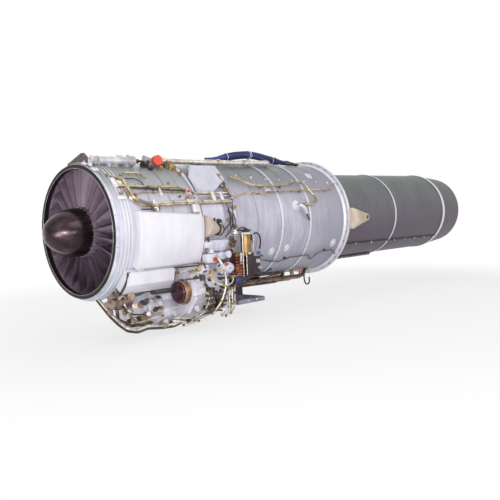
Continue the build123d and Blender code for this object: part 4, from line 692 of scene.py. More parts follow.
# Air bottle and its valve: a silver bottle in a white clamp, with a slotted bracket on its end, brass unions,
# and the red blanking cap that pulls off the valve.
silver = surface("silver_alloy", worn_paint((208, 204, 210), (154, 150, 158), 0.34, 0.4))
dress(silver, "air_bottle", "air_valve")
dress(surface("red_cap", glossy((212, 70, 50), (184, 48, 36), 0.4)), "blanking_cap")
bronze_metal = surface("olive_bronze", brushed((188, 164, 124), (110, 84, 58), 0.36, 0.6))
dark_steel = surface("dark_steel", brushed((96, 84, 80), (44, 36, 36), 0.42, 0.6, scale=50.0))
aft = Vector((1, 0, 0))
fitted("bottle_clamp", bracket_alloy,
    pads=[(28, 22, 500, 14, 34, 70, 4), (30, 15, 466, 40, 44, 14, 3), (30, 29, 466, 40, 44, 14, 3)],
    stubs=[(28, 13, 470, 6, 0.5, 8, 6, 4, 14), (28, 31, 470, 6, 0.5, 8, 6, 4, 14)])
fitted("bottle_neck", silver,
    spun=[(at(14, 22, 505), aft, 28, [(0, 12), (4, 20), (20, 24), (40, 27), (48, 27)])])
fitted("bottle_bands", silver, pads=[(256, 20, 529, 52, 8, 14, 1.5),
    (344, 20, 528, 34, 46, 22, 3)], spun=[(at(334, 22, 505), aft, 28, 1, 29, 0, 32, 27, 29, 28),
    (at(182, 22, 505), aft, 28, 1, 28.2, 0, 29.6, 17, 28.2, 18)])
fitted("bottle_unions", dark_steel, pads=[(452, 24, 488, 52, 40, 34, 4),
    (470, 30, 480, 30, 30, 24, 3)], stubs=[(424, 26, 486, 6, 1, 12, 26, 8, 36)],
    spun=[(at(364, 22, 505), aft, 6, 1, 9, 24, 14, 44, 8, 78),
    (at(486, 22, 500), aft, 12, 1, 13, 14, 10, 30)])
fitted("valve_unions", bronze_metal, pads=[(668, 27, 482, 60, 74, 52, 10)],
    stubs=[(640, 26, 470, 8, [(0, 17), (26, 17), (28, 12), (46, 12), (47, 15), (60, 15)]),
    (672, 17, 488, 10, 2, 22, 14, 17, 28, 21, 38), (690, 38, 470, 6, 1, 15, 12, 9, 34),
    (560, 30, 468, 8, 2, 16, 18, 11, 30)], spun=[(at(606, 19, 486), aft, 8, 2, 20, 10, 25, 34, 18, 60)])

# Front pipes: thin stainless and oil lines that fan out over the front casing, held by clips.
# The lines are bent tube on the radius s, and brass nuts join them where they meet the unions.
def pipe_metal(light, dark):
    """Drawn tube: bright and brown by turns along its length, as heat and dirt leave it."""
    return brushed(light, dark, 0.32, 0.6, scale=26.0, bump=0.08)


tan_tube = surface("tan_tube", pipe_metal((196, 180, 152), (112, 92, 70)))
silver_tube = surface("silver_tube", pipe_metal((222, 217, 212), (160, 150, 142)))
dark_tube = surface("dark_tube", pipe_metal((92, 82, 78), (38, 30, 32)))
dress(tan_tube, "upper_pipes", "rear_pipes")
dress(silver_tube, "air_pipe")
s = front_r + 12
front_runs = [(5.5, route((60, 41, s), (112, 44, s), (140, 50, s), (128, 58, s), (150, 66, s),
    (206, 71.5, s + 6), (300, 72.5, s + 6))), (4.5, route((92, 52, s), (180, 52.6, s), (330, 55.2, s),
    (470, 56.2, s), (600, 57.6, s), (640, 61, s))), (4.5, route((196, 61.5, s), (250, 59.5, s),
    (400, 59.4, s), (610, 60.4, s), (668, 60.6, s)))]
front_silver_runs = [(9.0, route((352, 74, s + 6), (400, 69.6, s + 8), (600, 69.2, s + 8),
    (694, 69.3, s + 8), (1000, 69.6, s + 16))), (6.5, route((640, 60.8, s + 4), (700, 62.2, s + 14),
    (1008, 62.6, s + 18))), (5.0, route((648, 64.6, s + 4), (720, 65, s + 14), (1008, 65.4, s + 18)))]
pipework("front_lines", tan_tube, "pipe_steel", *front_runs)
pipework("front_dark_lines", dark_tube, "shaft_steel", (4.0, route((104, 45.5, s), (250, 45.5, s),
    (290, 49, s), (300, 57, s - 6))), (5.0, route((92, 54.3, s + 2), (330, 56.8, s + 2), (520, 58.2, s + 2),
    (640, 59, s + 2))), (4.0, route((200, 74.2, s + 4), (292, 74.4, s + 4))))
pipework("front_silver_lines", silver_tube, "pipe_steel", *front_silver_runs)
grown("front_pipe_nuts", collar_tree, [run for r, run in front_runs + front_silver_runs], bronze_metal,
    pitch=131, radius=10.5, height=20)
fitted("front_pipe_clips", bracket_alloy, pads=[(400, 60, 484, 12, 62, 26, 3),
    (640, 62, 486, 34, 60, 34, 4), (108, 50, 482, 34, 32, 22, 3), (78, 64, 482, 66, 22, 22, 3),
    (150, 64.5, 482, 36, 18, 20, 3), (355, 70.5, 484, 40, 26, 26, 3), (618, 69, 488, 42, 30, 32, 3),
    (850, 66, 500, 26, 76, 22, 3), (930, 66, 500, 22, 70, 22, 3)],
    blocks=[(at(70, 50, 482), 30, 70, 20, 3, out_at(54))])
fitted("front_elbows", bronze_metal, stubs=[(120, 47, 478, 6, 1, 11, 14, 15, 24, 8, 25),
    (86, 60, 478, 6, 1, 10, 12, 13, 22, 7, 23), (622, 66, 486, 6, 1, 14, 14, 18, 28, 10, 29),
    (560, 64, 476, 6, 1, 9, 8, 6, 16), (520, 50, 470, 6, 1, 9, 8, 6, 14),
    (300, 75.5, 486, 6, 1, 8, 10, 11, 20)])

# Joint fittings: the crowd of small unions, blocks and elbows along the joint between the middle casings.
# Brass and steel, screwed into the flange.
joint_stubs, joint_blocks = ([], []), ([], [])
for k, size in enumerate((12, 15, 11, 16, 13, 15, 11, 14, 12, 15)):
    x, clock = 1006 + 14 * (k % 3), 36 + 8 * k
    joint_stubs[k % 2].append((x, clock, 482, 6, 1, size, 12, size * 1.25, 24, size * 0.7, 34))
    joint_blocks[1 - k % 2].append((at(x - 34, clock + 2.2, 488), 30, 26, 18, 3, out_at(clock)))
fitted("joint_unions", bronze_metal, stubs=joint_stubs[1], blocks=joint_blocks[1],
    spun=[(at(985, 104, 500), (1, 0, -0.3), 6, 1, 9, 26, 13, 38)])
fitted("joint_blocks", silver, blocks=joint_blocks[0],
    stubs=joint_stubs[0] + [(968, 96, 488, 12, 1, 16, 8, 11, 26, 6, 36)])
pipework("joint_hoses", dark_tube, "shaft_steel", (4.5, route((1010, 62, 506), (1018, 70, 512),
    (990, 78, 512), (1012, 88, 514), (1000, 96, 510))), (4.0, route((952, 70, 500), (975, 82, 506),
    (962, 92, 506), (990, 99, 512))), (4.0, route((1016, 36, 500), (1000, 44, 508), (1016, 52, 504),
    (1008, 60, 506))))

# Bleed actuator: a tan painted cone on the casing, with dark turned rings and a bronze nose.
# A rounded cover in light enamel stands before it on the casing.
tan_alloy = surface("tan_alloy", worn_paint((206, 190, 178), (172, 156, 144), 0.42, 0.1))
dress(tan_alloy, "bleed_actuator")
tip_aim = Vector((cos(radians(12)), 0, -sin(radians(12))))
bleed_root = mm(mid_x + 2, -rear_r - 35, -4)
fitted("actuator_rings", dark_steel,
    spun=[(bleed_root + tip_aim * 0.116, tip_aim, 32, 2, 38, 0, 43, 12, 39, 14),
    (bleed_root + tip_aim * 0.147, tip_aim, 32, [(0, 38), (2, 41), (9, 41), (12, 36)]),
    (bleed_root + mm(95, 0, 30), (0, -0.2, 1), 6, 1, 9, 16, 6, 28),
    (bleed_root + mm(25, 0, -80), (0, -0.3, -1), 6, 1, 12, 10, 8, 30)])
fitted("actuator_nose", bronze_metal,
    spun=[(bleed_root + tip_aim * 0.157, tip_aim, 24, [(0, 24), (8, 24), (12, 17), (22, 17), (25, 10)])])
fitted("lobe_cover", cover_paint,
    stubs=[(880, 108, 496, 28, [(0, 40), (24, 40), (33, 32), (36, 20)])],
    blocks=[(at(820, 106.5, 498), 236, 84, 60, 20, out_at(107))],
    spun=[(at(750, 106.5, 500), out_at(107), 28, [(0, 46), (24, 46), (33, 38), (36, 26)])])

# Gearbox and pumps: a cast case in silver-grey paint with ribs and pads, its lids held by hexagon screws.
# The drive pad is bronze under a black cover. The pumps before it are oily, among many unions and pipes.
up, port = Vector((0, 0, 1)), Vector((0, -1, 0))
cast_paint = surface("gearbox_paint", worn_paint((216, 214, 221), (172, 170, 181), 0.45, 0.1, grain=0.6))
dress(cast_paint, "gearbox_casing")
dress(surface("pad_bronze", brushed((158, 128, 102), (96, 68, 56), 0.42, 0.35)), "drive_pad")
dress(surface("pad_cover_paint", glossy((58, 20, 36), (30, 8, 18), 0.2)), "pad_cover")
pump_paint = surface("pump_paint", worn_paint((176, 152, 134), (92, 72, 62), 0.42, 0.2, wear_share=0.2))


def pump_skin(shade, place):
    """Light grey on the turned fuel pump and oily dark brown on the block pump at the front."""
    x, y, z, radius = place.axes()
    cloud = shade.noise(place, 16.0)
    grey = cloud.step(0.35, 0.68).blend((158, 154, 166), (204, 201, 209))
    brown = cloud.step(0.4, 0.62).blend((52, 34, 30), (150, 128, 114))
    return {"Base Color": x.step(0.215, 0.225).blend(brown, grey), "Roughness": 0.36 + cloud * 0.2,
            "Height": cloud, "Bump": 0.2}


dress(surface("pump_skin", pump_skin), "pumps")
fitted("gearbox_details", cast_paint,
    spun=[(mm(x, y + 6, z), (0, -1, 0.05), 24, 2, r, 12, r * 0.8, 20)
          for x, y, z, r in ((598, -527, -356, 26), (690, -531, -392, 34), (640, -529, -440, 22),
                             (820, -529, -420, 30))]
    + [(mm(x, y, z), (0, -0.75, -0.66), 12, [(0, 21), (14, 21), (16, 15), (30, 15), (31, 9), (40, 9)])
       for x, y, z in ((620, -470, -560), (790, -478, -548), (690, -400, -632), (480, -390, -575),
                       (440, -350, -640))],
    blocks=[(mm(x, -486, -540), 14, 150, 26, 3, (0, -0.79, -0.61)) for x in (575, 730, 870)]
    + [(mm(470, -352, -470), 110, 40, 26, 4)])
grown("gearbox_heads", head_tree,
    [[mm(*p) for p in path] for path in (((552, -514, -304), (895, -514, -304)), ((552, -533,
    -470), (895, -533, -470)), ((552, -441, -590), (895, -441, -590)), ((410, -385, -545), (540, -385,
    -545)))], plated, pitch=38, radius=5, height=6)
pad_turns = [radians(22.5 + 45 * k) for k in range(8)]
pad_screws = [mm(536.2, -434 + 84.5 * cos(turn), -445 + 84.5 * sin(turn)) for turn in pad_turns]
fitted("drive_pad_screws", plated,
    spun=[(spot, (-1, 0, 0), 6, 1, 5, 5, 3.5, 6) for spot in pad_screws])
fitted("pump_details", pump_paint,
    blocks=[(mm(110, -340, -470), 90, 70, 50, 8, (0, -0.8, -0.6)),
    (mm(300, -300, -610), 70, 60, 40, 6, (0, -0.5, -0.85))],
    spun=[(mm(150, -330, -430), (-0.1, -1, -0.1), 16, 2, 24, 40, 28, 52, 16, 64),
    (mm(60, -250, -520), (0, -0.6, -0.8), 12, 2, 20, 24, 14, 40),
    (mm(240, -318, -590), (0, -0.6, -0.8), 8, 2, 18, 20, 12, 34),
    (mm(330, -372, -540), (0, -1, 0), 8, 2, 16, 18, 11, 30),
    (mm(212, -372, -500), (0, -1, 0.2), 8, 2, 14, 12, 20, 22)])
fitted("pump_unions", bronze_metal,
    spun=[(mm(100, -352, -520), (-0.3, -0.8, -0.6), 6, 1, 12, 14, 17, 30, 9, 42),
    (mm(280, -390, -560), (0, -0.9, -0.4), 6, 1, 11, 12, 15, 24),
    (mm(385, -400, -640), (0, -0.7, -0.7), 6, 1, 13, 18, 18, 32),
    (mm(190, -300, -575), (0, -0.6, -0.8), 6, 1, 12, 12, 16, 26)])
# Small fittings scattered over the pumps, spread by sines so that they fall alike each time.
pump_bits = [], [], []
for k in range(42):
    x = 70 + 31 * (k % 11) + 9 * sin(k * 2.1)
    y = -352 - 46 * (k % 7) / 6 + 10 * sin(k)
    z = -440 - 15 * ((k * 5) % 11)
    aim = 0.6 * sin(k * 1.7), -1, 0.6 * cos(k * 2.3)
    size = 8 + 5 * ((k * 3) % 4) / 3
    pump_bits[k % 3].append((mm(x, y, z), aim, 6 if k % 2 else 12,
                             1, size, 14, size * 1.3, 24, size * 0.6, 34))
fitted("pump_bits_steel", silver, spun=pump_bits[0])
fitted("pump_bits_brass", bronze_metal, spun=pump_bits[1])
fitted("pump_bits_dark", dark_steel, spun=pump_bits[2])
pipework("cooler_hoses", dark_tube, "shaft_steel", (4.0, route((82, 121, 516), (81, 130, 545),
    (81, 139, 546), (90, 143, 500))), (3.5, route((96, 120.5, 516), (74, 128, 540), (74, 140, 540))))
fitted("pad_duct", dark_plastic, blocks=[(mm(380, -424, -420), 150, 30, 34, 8)],
    spun=[(mm(300, -424, -420), (-1, 0, 0), 12, 2, 16, 12, 10, 26)])
pump_lines = [(10.5, bent((62, -120, -447), (64, -250, -540), (70, -338, -590), (90, -400, -632),
    (150, -415, -650), (250, -400, -640), (400, -372, -662))), (5.0, bent((90, -340, -440), (96, -372, -480),
    (120, -380, -540), (180, -372, -580), (250, -376, -560))), (5.0, bent((150, -350, -600),
    (220, -360, -612), (300, -372, -600), (380, -400, -590))), (7.0, bent((300, -330, -650),
    (380, -350, -676), (460, -372, -668), (540, -400, -640)))]
pipework("pump_pipes", silver_tube, "pipe_steel", *pump_lines)
pipework("pump_hoses", dark_tube, "shaft_steel", (7.5, bent((58, -112, -462), (60, -246, -560),
    (66, -336, -612), (90, -394, -650), (160, -408, -668), (260, -392, -660), (420, -360, -684))),
    (5.5, bent((70, -300, -470), (90, -380, -500), (140, -396, -548), (230, -388, -560))),
    (6.0, bent((240, -300, -640), (330, -320, -668), (420, -330, -690), (520, -350, -690),
    (600, -372, -660))))
grown("pump_pipe_nuts", collar_tree, [run for r, run in pump_lines], bronze_metal, pitch=118,
    radius=10.5, height=18)

# Fuel governor: a brass cylinder beside a dark finned stack on a small table, with rods, a coil and hoses.
# Its lever is plated steel, and the control unit behind it is a dark painted box with silver fittings.
def governor_metal(shade, place):
    """Olive brass on the cylinder and the fins, dark brown on the stack and its foot."""
    x, y, z, radius = place.axes()
    line = shade.noise(place, 60.0, (1.0, 1.0, 4.0), detail=4.0)
    stain = shade.noise(place, 14.0)
    grain = (line * 0.4 + stain * 0.6).step(0.34, 0.66)
    side = (y + 0.545).maths("ABSOLUTE", y + 0.545)
    fins = side.step(0.0285, 0.0295) * x.step(1.03, 1.028)
    brass = x.step(1.028, 1.031) * z.step(-0.222, -0.214)
    shown = (brass + fins).maths("MINIMUM", brass + fins, 1.0)
    stack = grain.blend((66, 40, 30), (134, 96, 70))
    foot = grain.blend((34, 18, 18), (88, 50, 42))
    cylinder = grain.blend((96, 70, 34), (168, 138, 82))
    finned = grain.blend((96, 56, 42), (172, 118, 84))
    dull = z.step(-0.2, -0.225).blend(stack, foot)
    bright = z.step(-0.222, -0.23).blend(cylinder, finned)
    return {"Base Color": shown.blend(dull, bright), "Roughness": 0.55 + stain * 0.15 - brass * 0.3,
            "Metallic": shown * 0.5 + 0.03, "Height": line, "Bump": 0.1}


dark_unit = surface("dark_unit", worn_paint((58, 42, 40), (26, 17, 19), 0.45, 0.1, wear=(148.9, 139.4, 134.4),
    wear_share=0.08), Specular_IOR_Level=0.3)
dress(surface("governor_metal", governor_metal, Specular_IOR_Level=0.3), "fuel_governor")
dress(dark_unit, "control_unit")
dress(plated, "throttle_lever")
fitted("governor_caps", silver,
    spun=[(mm(1070, -545, -80), up, 32, [(0, 39), (4, 41), (14, 41), (16, 37)]),
    (mm(1070, -545, -226), up, 32, 2, 40, 0, 42, 12, 40, 14),
    (mm(966, -545, -70), up, 16, 4, 26, 16, 18, 30)])
fitted("governor_blocks", dark_unit, blocks=[(mm(1040, -545, -52), 150, 34, 14, 4, up),
    (mm(1066, -560, -305), 86, 140, 66, 4)],
    spun=[(mm(1070, -545, -64), up, 24, [(0, 30), (8, 30), (20, 20), (26, 9)]),
    (mm(1118, -552, -128), up, 6, 2, 10, 30, 14, 44),
    (mm(920, -548, -190), (-1, 0, 0), 8, 2, 14, 10, 9, 26)])
pipework("governor_rods", silver_tube, "bright_metal", (2.8, bent((984, -556, -54), (984, -598.5, -60),
    (984, -598.5, -380), (984, -570, -383), bend=5)), (3.0, bent((1100, -562, -72), (1120, -575, -80),
    (1120, -575, -214), (1100, -562, -220), bend=5)), (3.0, bent((1022, -595.5, -214),
    (1022, -595.5, -372))))
coil_r, coil_pitch, coil_turns = 36, 15, 5
pipework("governor_coil", surface("copper_coil", brushed((196, 112, 92), (120, 52, 44), 0.34, 0.5)),
    "bronze", (4.0, [mm(962 + coil_r * cos(a), -552 + coil_r * sin(a), -298 - coil_pitch * a / (2 * pi))
                     for a in (2 * pi * k / 16 for k in range(16 * coil_turns + 1))]))
pipework("governor_hoses", surface("black_hose", glossy((38, 28, 32), (18, 12, 16), 0.45)), "black_cover",
    (6.0, bent((1150, -540, -150), (1152, -545, -86), (1190, -540, -72), (1240, -530, -90),
    (1266, -515, -140), (1268, -500, -200), bend=26)), (5.0, bent((960, -560, -60), (985, -565, -34),
    (1040, -560, -26), (1090, -555, -44), (1104, -540, -78))), (6.0, bent((1178, -560, -262),
    (1240, -530, -252), (1320, -470, -256), (1392, -410, -264))), (7.5, bent((770, -545, -366),
    (800, -572, -372), (920, -580, -380), (1010, -575, -392), (1130, -545, -392))),
    (5.0, bent((880, -500, -60), (905, -520, -20), (935, -530, 10), (950, -520, 60), (962, -490, 110))),
    (4.5, bent((905, -505, -90), (930, -530, -50), (958, -535, 0), (975, -515, 70))))
fitted("control_fittings", silver, spun=[(mm(1146, -571, -280), port, 8, 2, 17, 16, 12, 30),
    (mm(1160, -574, -330), port, 8, 2, 14, 12, 9, 26), (mm(1178, -520, -300), aft, 8, 2, 16, 16, 11, 34),
    (mm(1130, -545, -248), up, 8, 2, 15, 14, 11, 40, 14, 52),
    (mm(1165, -470, -250), up, 6, 2, 12, 20, 16, 36)])
blue_paint = surface("blue_anodised", glossy((96, 124, 170), (52, 66, 110), 0.35), Metallic=0.3)
fitted("control_cap", blue_paint, spun=[(mm(1168, -572, -222), port, 10, 2, 15, 12, 10, 22)])

# Fuel pump group: a light grey pump with boxes, bronze elbows and red transport caps.
# It hangs between the gearbox and the governor, in bent pipes and black hoses.
fitted("fuel_pump_group", cover_paint, blocks=[(mm(742, -506, -228), 100, 66, 60, 8),
    (mm(660, -516, -300), 90, 60, 44, 6), (mm(850, -500, -220), 80, 50, 50, 8)],
    spun=[(mm(790, -540, -308), aft, 28, [(0, 30), (6, 42), (96, 44), (104, 36), (120, 34)]),
    (mm(742, -520, -190), up, 16, 2, 24, 10, 18, 26),
    (mm(880, -530, -210), port, 16, 2, 20, 16, 26, 30, 16, 32)])
fitted("transport_caps", nodes["blanking_cap"].data.materials[0],
    stubs=[(632, 61, 500, 16, 3, 9, 0, 10, 12, 8, 15)],
    spun=[(mm(756, -536, -238), port, 16, [(0, 12), (3, 14), (18, 14), (22, 11)]),
    (mm(826, -580, -276), port, 16, [(0, 10), (3, 12), (12, 12), (16, 9)])])
fitted("pump_elbows", bronze_metal, spun=[(mm(600, -520, -290), port, 6, 1, 14, 16, 19, 30),
    (mm(640, -530, -266), up, 6, 1, 11, 14, 15, 26), (mm(706, -545, -322), port, 6, 1, 15, 12, 20, 24),
    (mm(700, -530, -180), (-0.4, 0, 1), 6, 1, 13, 12, 17, 24),
    (mm(572, -520, -305), (-1, 0, 0), 6, 1, 11, 14, 15, 30),
    (mm(850, -560, -440), (0, 0, -1), 6, 1, 12, 14, 16, 26),
    (mm(880, -560, -440), (0, 0, -1), 6, 1, 12, 14, 16, 26)])
fitted("dark_valve_group", dark_steel, blocks=[(mm(626, -538, -352), 44, 40, 36, 4),
    (mm(700, -536, -462), 70, 64, 40, 5), (mm(800, -520, -540), 50, 90, 40, 5),
    (mm(720, -500, -570), 90, 30, 44, 4), (mm(1010, -500, -430), 120, 50, 70, 6)],
    spun=[(mm(760, -545, -500), port, 10, 2, 22, 16, 15, 34),
    (mm(668, -545, -520), port, 8, 2, 17, 12, 12, 28),
    (mm(590, -534, -348), (-1, 0, 0), 8, 2, 14, 12, 9, 30)])
fitted("plug_connectors", surface("navy_plastic", glossy((56, 52, 106), (26, 24, 60), 0.45)),
    blocks=[(mm(948, -560, -402), 60, 46, 44, 5)], spun=[(mm(990, -565, -410), port, 12, 2, 15, 14, 10, 28),
    (mm(930, -565, -378), port, 12, 2, 12, 14, 8, 26)])
group_runs = [(7.5, bent((760, -560, -222), (772, -590, -262), (800, -592, -330), (812, -590, -400),
    (792, -588, -470), (766, -574, -540), (720, -530, -620), (640, -450, -668), (560, -400, -682), bend=30)),
    (5.0, bent((694, -550, -360), (716, -572, -400), (800, -582, -424), (870, -582, -418),
    (906, -575, -372))), (6.5, bent((850, -572, -452), (850, -570, -590), (820, -520, -640))),
    (6.5, bent((880, -572, -452), (880, -570, -596), (860, -520, -650))), (5.5, bent((912, -568, -440),
    (912, -562, -590), (930, -500, -640))), (6.0, bent((690, -545, -480), (660, -560, -520),
    (640, -540, -590), (600, -470, -640))), (5.0, bent((600, -540, -290), (570, -548, -276),
    (500, -548, -290), (452, -500, -300)))]
pipework("group_pipes", silver_tube, "pipe_steel", *group_runs)
pipework("group_hoses", dark_tube, "shaft_steel", (5.5, bent((400, -520, -262), (440, -535, -262),
    (600, -548, -266), (622, -552, -246), (644, -552, -262), (668, -540, -290))),
    (5.5, bent((500, -520, -352), (560, -548, -352), (610, -548, -346))), (5.0, bent((636, -545, -360),
    (660, -560, -420), (700, -565, -440))), (7.0, bent((640, -470, -620), (700, -500, -612),
    (790, -520, -600), (830, -510, -610))))
grown("group_pipe_nuts", collar_tree, [run for r, run in group_runs], bronze_metal, pitch=97,
    radius=10.5, height=17)
# Small fittings scattered round the group in the same way, clear of its light grey pump.
group_bits = [], []
for k in range(54):
    x, z = 640 + 31 * (k % 10) + 11 * sin(k * 1.9), -262 - 27.5 * ((k * 7) % 13)
    if x >= 790 or z <= -300:
        aim = 0.7 * sin(k * 1.3), -1, 0.7 * cos(k * 2.9)
        size = 6 + ((k * 5) % 6)
        group_bits[k % 4 == 0].append((mm(x, -536 - 12 * (k % 3), z), aim, 6 if k % 2 else 12,
                                       1, size, 12, size * 1.3, 20, size * 0.7, 30))
fitted("group_bits_dark", dark_steel, spun=group_bits[0])
fitted("group_bits_brass", bronze_metal, spun=group_bits[1])
pipework("sump_pipes", silver_tube, "pipe_steel", (8.0, bent((470, -390, -640), (520, -420, -650),
    (600, -430, -664), (680, -430, -652), (760, -420, -630))), (6.0, bent((480, -400, -620),
    (560, -440, -632), (650, -450, -636), (740, -440, -612))))
fitted("sump_unions", dark_steel,
    spun=[(mm(420, -330, -655), (0, -0.5, -0.86), 8, 2, 20, 16, 14, 32),
    (mm(520, -300, -668), (0, -0.3, -0.95), 8, 2, 22, 12, 15, 24),
    (mm(580, -420, -640), (0, -0.8, -0.6), 6, 2, 14, 14, 19, 26)])

# Drain tray: a folded sheet trough in grey enamel, with a rolled rim and drain fittings.
# It hangs under the casings from straps that are dark with grease.
def tray_skin(shade, place):
    """Grey enamel on the trough, and dark grease on the hangers above it."""
    x, y, z, radius = place.axes()
    cloud = shade.noise(place, 12.0)
    skin = cloud.step(0.35, 0.68).blend((108, 104, 122), (150, 146, 162))
    return {"Base Color": z.step(-0.622, -0.61).blend(skin, (52, 38, 44)), "Roughness": 0.42 + cloud * 0.15,
            "Height": cloud, "Bump": 0.15}


tray_paint = surface("tray_paint", tray_skin)
dress(tray_paint, "drain_tray")
low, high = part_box("drain_tray")
x0, x1, y0, y1 = low.x * 1000 + 3, high.x * 1000 - 3, low.y * 1000 + 3, high.y * 1000 - 3
tray_top = low.z * 1000 + 32
pipework("drain_tray_rim", tray_paint, "gearbox_metal", (3.5, bent((x0, y0, tray_top), (x1, y0, tray_top),
    (x1, y1, tray_top), (x0, y1, tray_top), (x0, y0 + 1, tray_top), bend=10)))
fitted("drain_tray_fittings", plated, blocks=[(mm(1400, -226, -634), 26, 20, 14, 2),
    (mm(1500, -226, -634), 26, 20, 14, 2)],
    spun=[(mm(1360, -200, -640), (0, -0.6, 0.8), 8, 2, 14, 12, 9, 26)])

# Lower pipes: the bundle of brown heat-stained tubes under the rear casings, held in steel straps.
# Dark hoses lie beside it, and a hooked drain hangs near the main flange.
def brown_tube(shade, place):
    """Brown where the bundle runs low under the casings, and dull steel on the other lines."""
    x, y, z, radius = place.axes()
    stain = shade.noise(place, 24.0)
    brown = stain.step(0.36, 0.64).blend((84, 50, 40), (176, 130, 100))
    steel = stain.step(0.36, 0.64).blend((52, 42, 42), (118, 106, 100))
    return {"Base Color": (z.step(-0.4, -0.43) * x.step(0.9, 1.0)).blend(steel, brown), "Metallic": 0.5,
            "Roughness": 0.28 + stain * 0.15, "Height": stain, "Bump": 0.08}


brown_metal = surface("brown_tube", brown_tube)
dress(brown_metal, "lower_pipes")
fitted("bundle_straps", dark_steel,
    blocks=[(mm(1260, -200, -472), 16, 100, 56, 3, (0, -0.4, -0.92)),
    (mm(1540, -188, -478), 16, 100, 62, 3, (0, -0.37, -0.93)),
    (mm(1860, -170, -486), 16, 100, 68, 3, (0, -0.33, -0.94))])
pipework("bundle_hoses", dark_tube, "shaft_steel", (9.0, route((1180, 155, 520), (1300, 154, 500),
    (1600, 153.5, 496), (1860, 156, 496), (1900, 160, 484))), (6.0, route((1220, 151, 510), (1340, 150, 494),
    (1560, 149, 492), (1640, 145, 484))))
pipework("bundle_tail", brown_metal, "pipe_steel", (14.0, bent((1130, -200, -488), (1300, -190, -492),
    (1700, -170, -506), (2150, -150, -520), (2196, -148, -500), (2200, -146, -452), bend=40)),
    (11.0, bent((1150, -222, -478), (1340, -214, -482), (1760, -195, -496), (2100, -175, -510),
    (2140, -172, -490), (2144, -170, -444), bend=30)), (9.0, bent((1150, -174, -500), (1400, -164, -510),
    (1800, -150, -522), (2040, -136, -532), (2080, -134, -500), (2084, -132, -456), bend=30)))
pipework("bundle_dark_hoses", dark_tube, "shaft_steel", (13.0, bent((1130, -246, -470), (1400, -232, -474),
    (1700, -214, -486), (2060, -190, -500), (2176, -180, -506), (2216, -176, -444), bend=40)),
    (9.0, bent((1240, -186, -512), (1500, -176, -520), (1800, -166, -528), (1900, -164, -510),
    (1904, -162, -452), bend=30)))
pipework("drain_hook", dark_tube, "shaft_steel", (7.0, bent((2240, -130, -440), (2246, -130, -560),
    (2262, -130, -596), (2300, -128, -604), (2326, -125, -584), (2330, -120, -540), bend=22)))
fitted("drain_unions", bronze_metal, stubs=[(2240, 157.7, 474, 8, 2, 18, 10, 13, 26),
    (2000, 158, 474, 8, 2, 22, 10, 16, 40, 20, 56), (1900, 160, 474, 8, 2, 16, 10, 12, 24)])

# Igniters and bosses: round plates in the casings' enamel, screwed down, each with its plug.
# A white elbow on one carries a dark lead away, and clips hold the pipes along the rear casings.
bosses, boss_screws = [], []
for x, clock, r in ((1767, 76, 45), (1490, 120, 36), (1670, 118, 34), (2300, 118, 40), (1490, 58, 34),
                    (1640, 300, 40), (1767, 250, 45), (1490, 240, 36), (2140, 40, 38), (2300, 220, 38)):
    bosses.append((x, clock, rear_r - 4, 28, [(0, r), (8, r), (10, r - 2), (11, r * 0.6), (18, r * 0.55)]))
    side = aft.cross(out_at(clock))
    ring = [at(x, clock, rear_r + 4.5) + 0.00082 * r * (aft * cos(a) + side * sin(a))
            for a in (2 * pi * k / 24 for k in range(24))]
    boss_screws.append(ring + ring[:1])
fitted("casing_bosses", rear_enamel, stubs=bosses)
grown("casing_boss_screws", head_tree, boss_screws, plated, pitch=30, height=4)
pipework("igniter_elbow", bracket_alloy, "pale_paint", (15.0, route((1780, 76, 482), (1782, 77, 520),
    (1816, 80, 524), (1850, 84, 506), bend=22)), sides=14)
pipework("igniter_tail", dark_tube, "shaft_steel", (6.5, route((1846, 84, 506), (1905, 90.5, 488))))
grown("rear_pipe_clips", head_tree, [route((1060, 40, 486), (1500, 47, 486), (2300, 52, 486)),
    route((1060, 64, 486), (1560, 62, 486))], bracket_alloy, pitch=150, radius=13, height=14,
    taper=0.7, sides=4)

# Main mounts: tan cast brackets bolted to the main flange, with a dark bearing boss at the tip.
# A thin conduit in plated clips runs aft from there along the jet pipe.
def bracket_skin(shade, place):
    """Tan enamel on the main brackets and dark brown on the lifting lugs at the front."""
    x, y, z, radius = place.axes()
    cloud = shade.noise(place, 9.0)
    tan = cloud.step(0.35, 0.68).blend((164, 148, 126), (206, 192, 172))
    brown = cloud.step(0.35, 0.68).blend((50, 36, 34), (104, 86, 80))
    return {"Base Color": x.step(0.2, 0.1).blend(tan, brown), "Roughness": 0.4 + cloud * 0.15,
            "Metallic": 0.15, "Height": cloud, "Bump": 0.15}


dress(surface("bracket_tan", bracket_skin), "mount_brackets")
fitted("mount_bearings", dark_steel,
    spun=[(mm(2700, side * 505, -15), (0, side, 0), 20, 4, 19, 20, 15, 28) for side in (-1, 1)])
pipework("jet_pipe_conduit", dark_tube, "shaft_steel", (7.0, route((2450, 128, 425), (2520, 129, 414),
    (3352, 131, 414), (3430, 131.4, 420), (3500, 131.6, 414), (4350, 134, 414), (4400, 134, 406))))
grown("conduit_clips", collar_tree, [route((2530, 129, 414), (3340, 131, 414)), route((3500, 131.6, 414),
    (4340, 134, 414))], plated, pitch=205, radius=11, height=14, sides=12)

# Wiring harness: taped strands in dark blue that swell over the top of the casing and taper at both ends,
# tied with white cord, with black plugs at the rear end.
harness_line = route((1184, 4, 511), (1300, 4, 513), (1450, 7, 549), (1620, 8, 565), (1800, 5, 551),
                     (2000, 1, 525), (2130, -2, 512), (2238, -4, 511), bend=70)
harness_light = surface("harness_light", worn_paint((66, 74, 146), (28, 32, 86), 0.5, wear_share=0.02))
harness_dark = surface("harness_dark", worn_paint((36, 40, 104), (14, 14, 48), 0.55, wear_share=0.02))
harness_r = 22
tie_r = 33
tie_steps = 12, 26, 27, 44


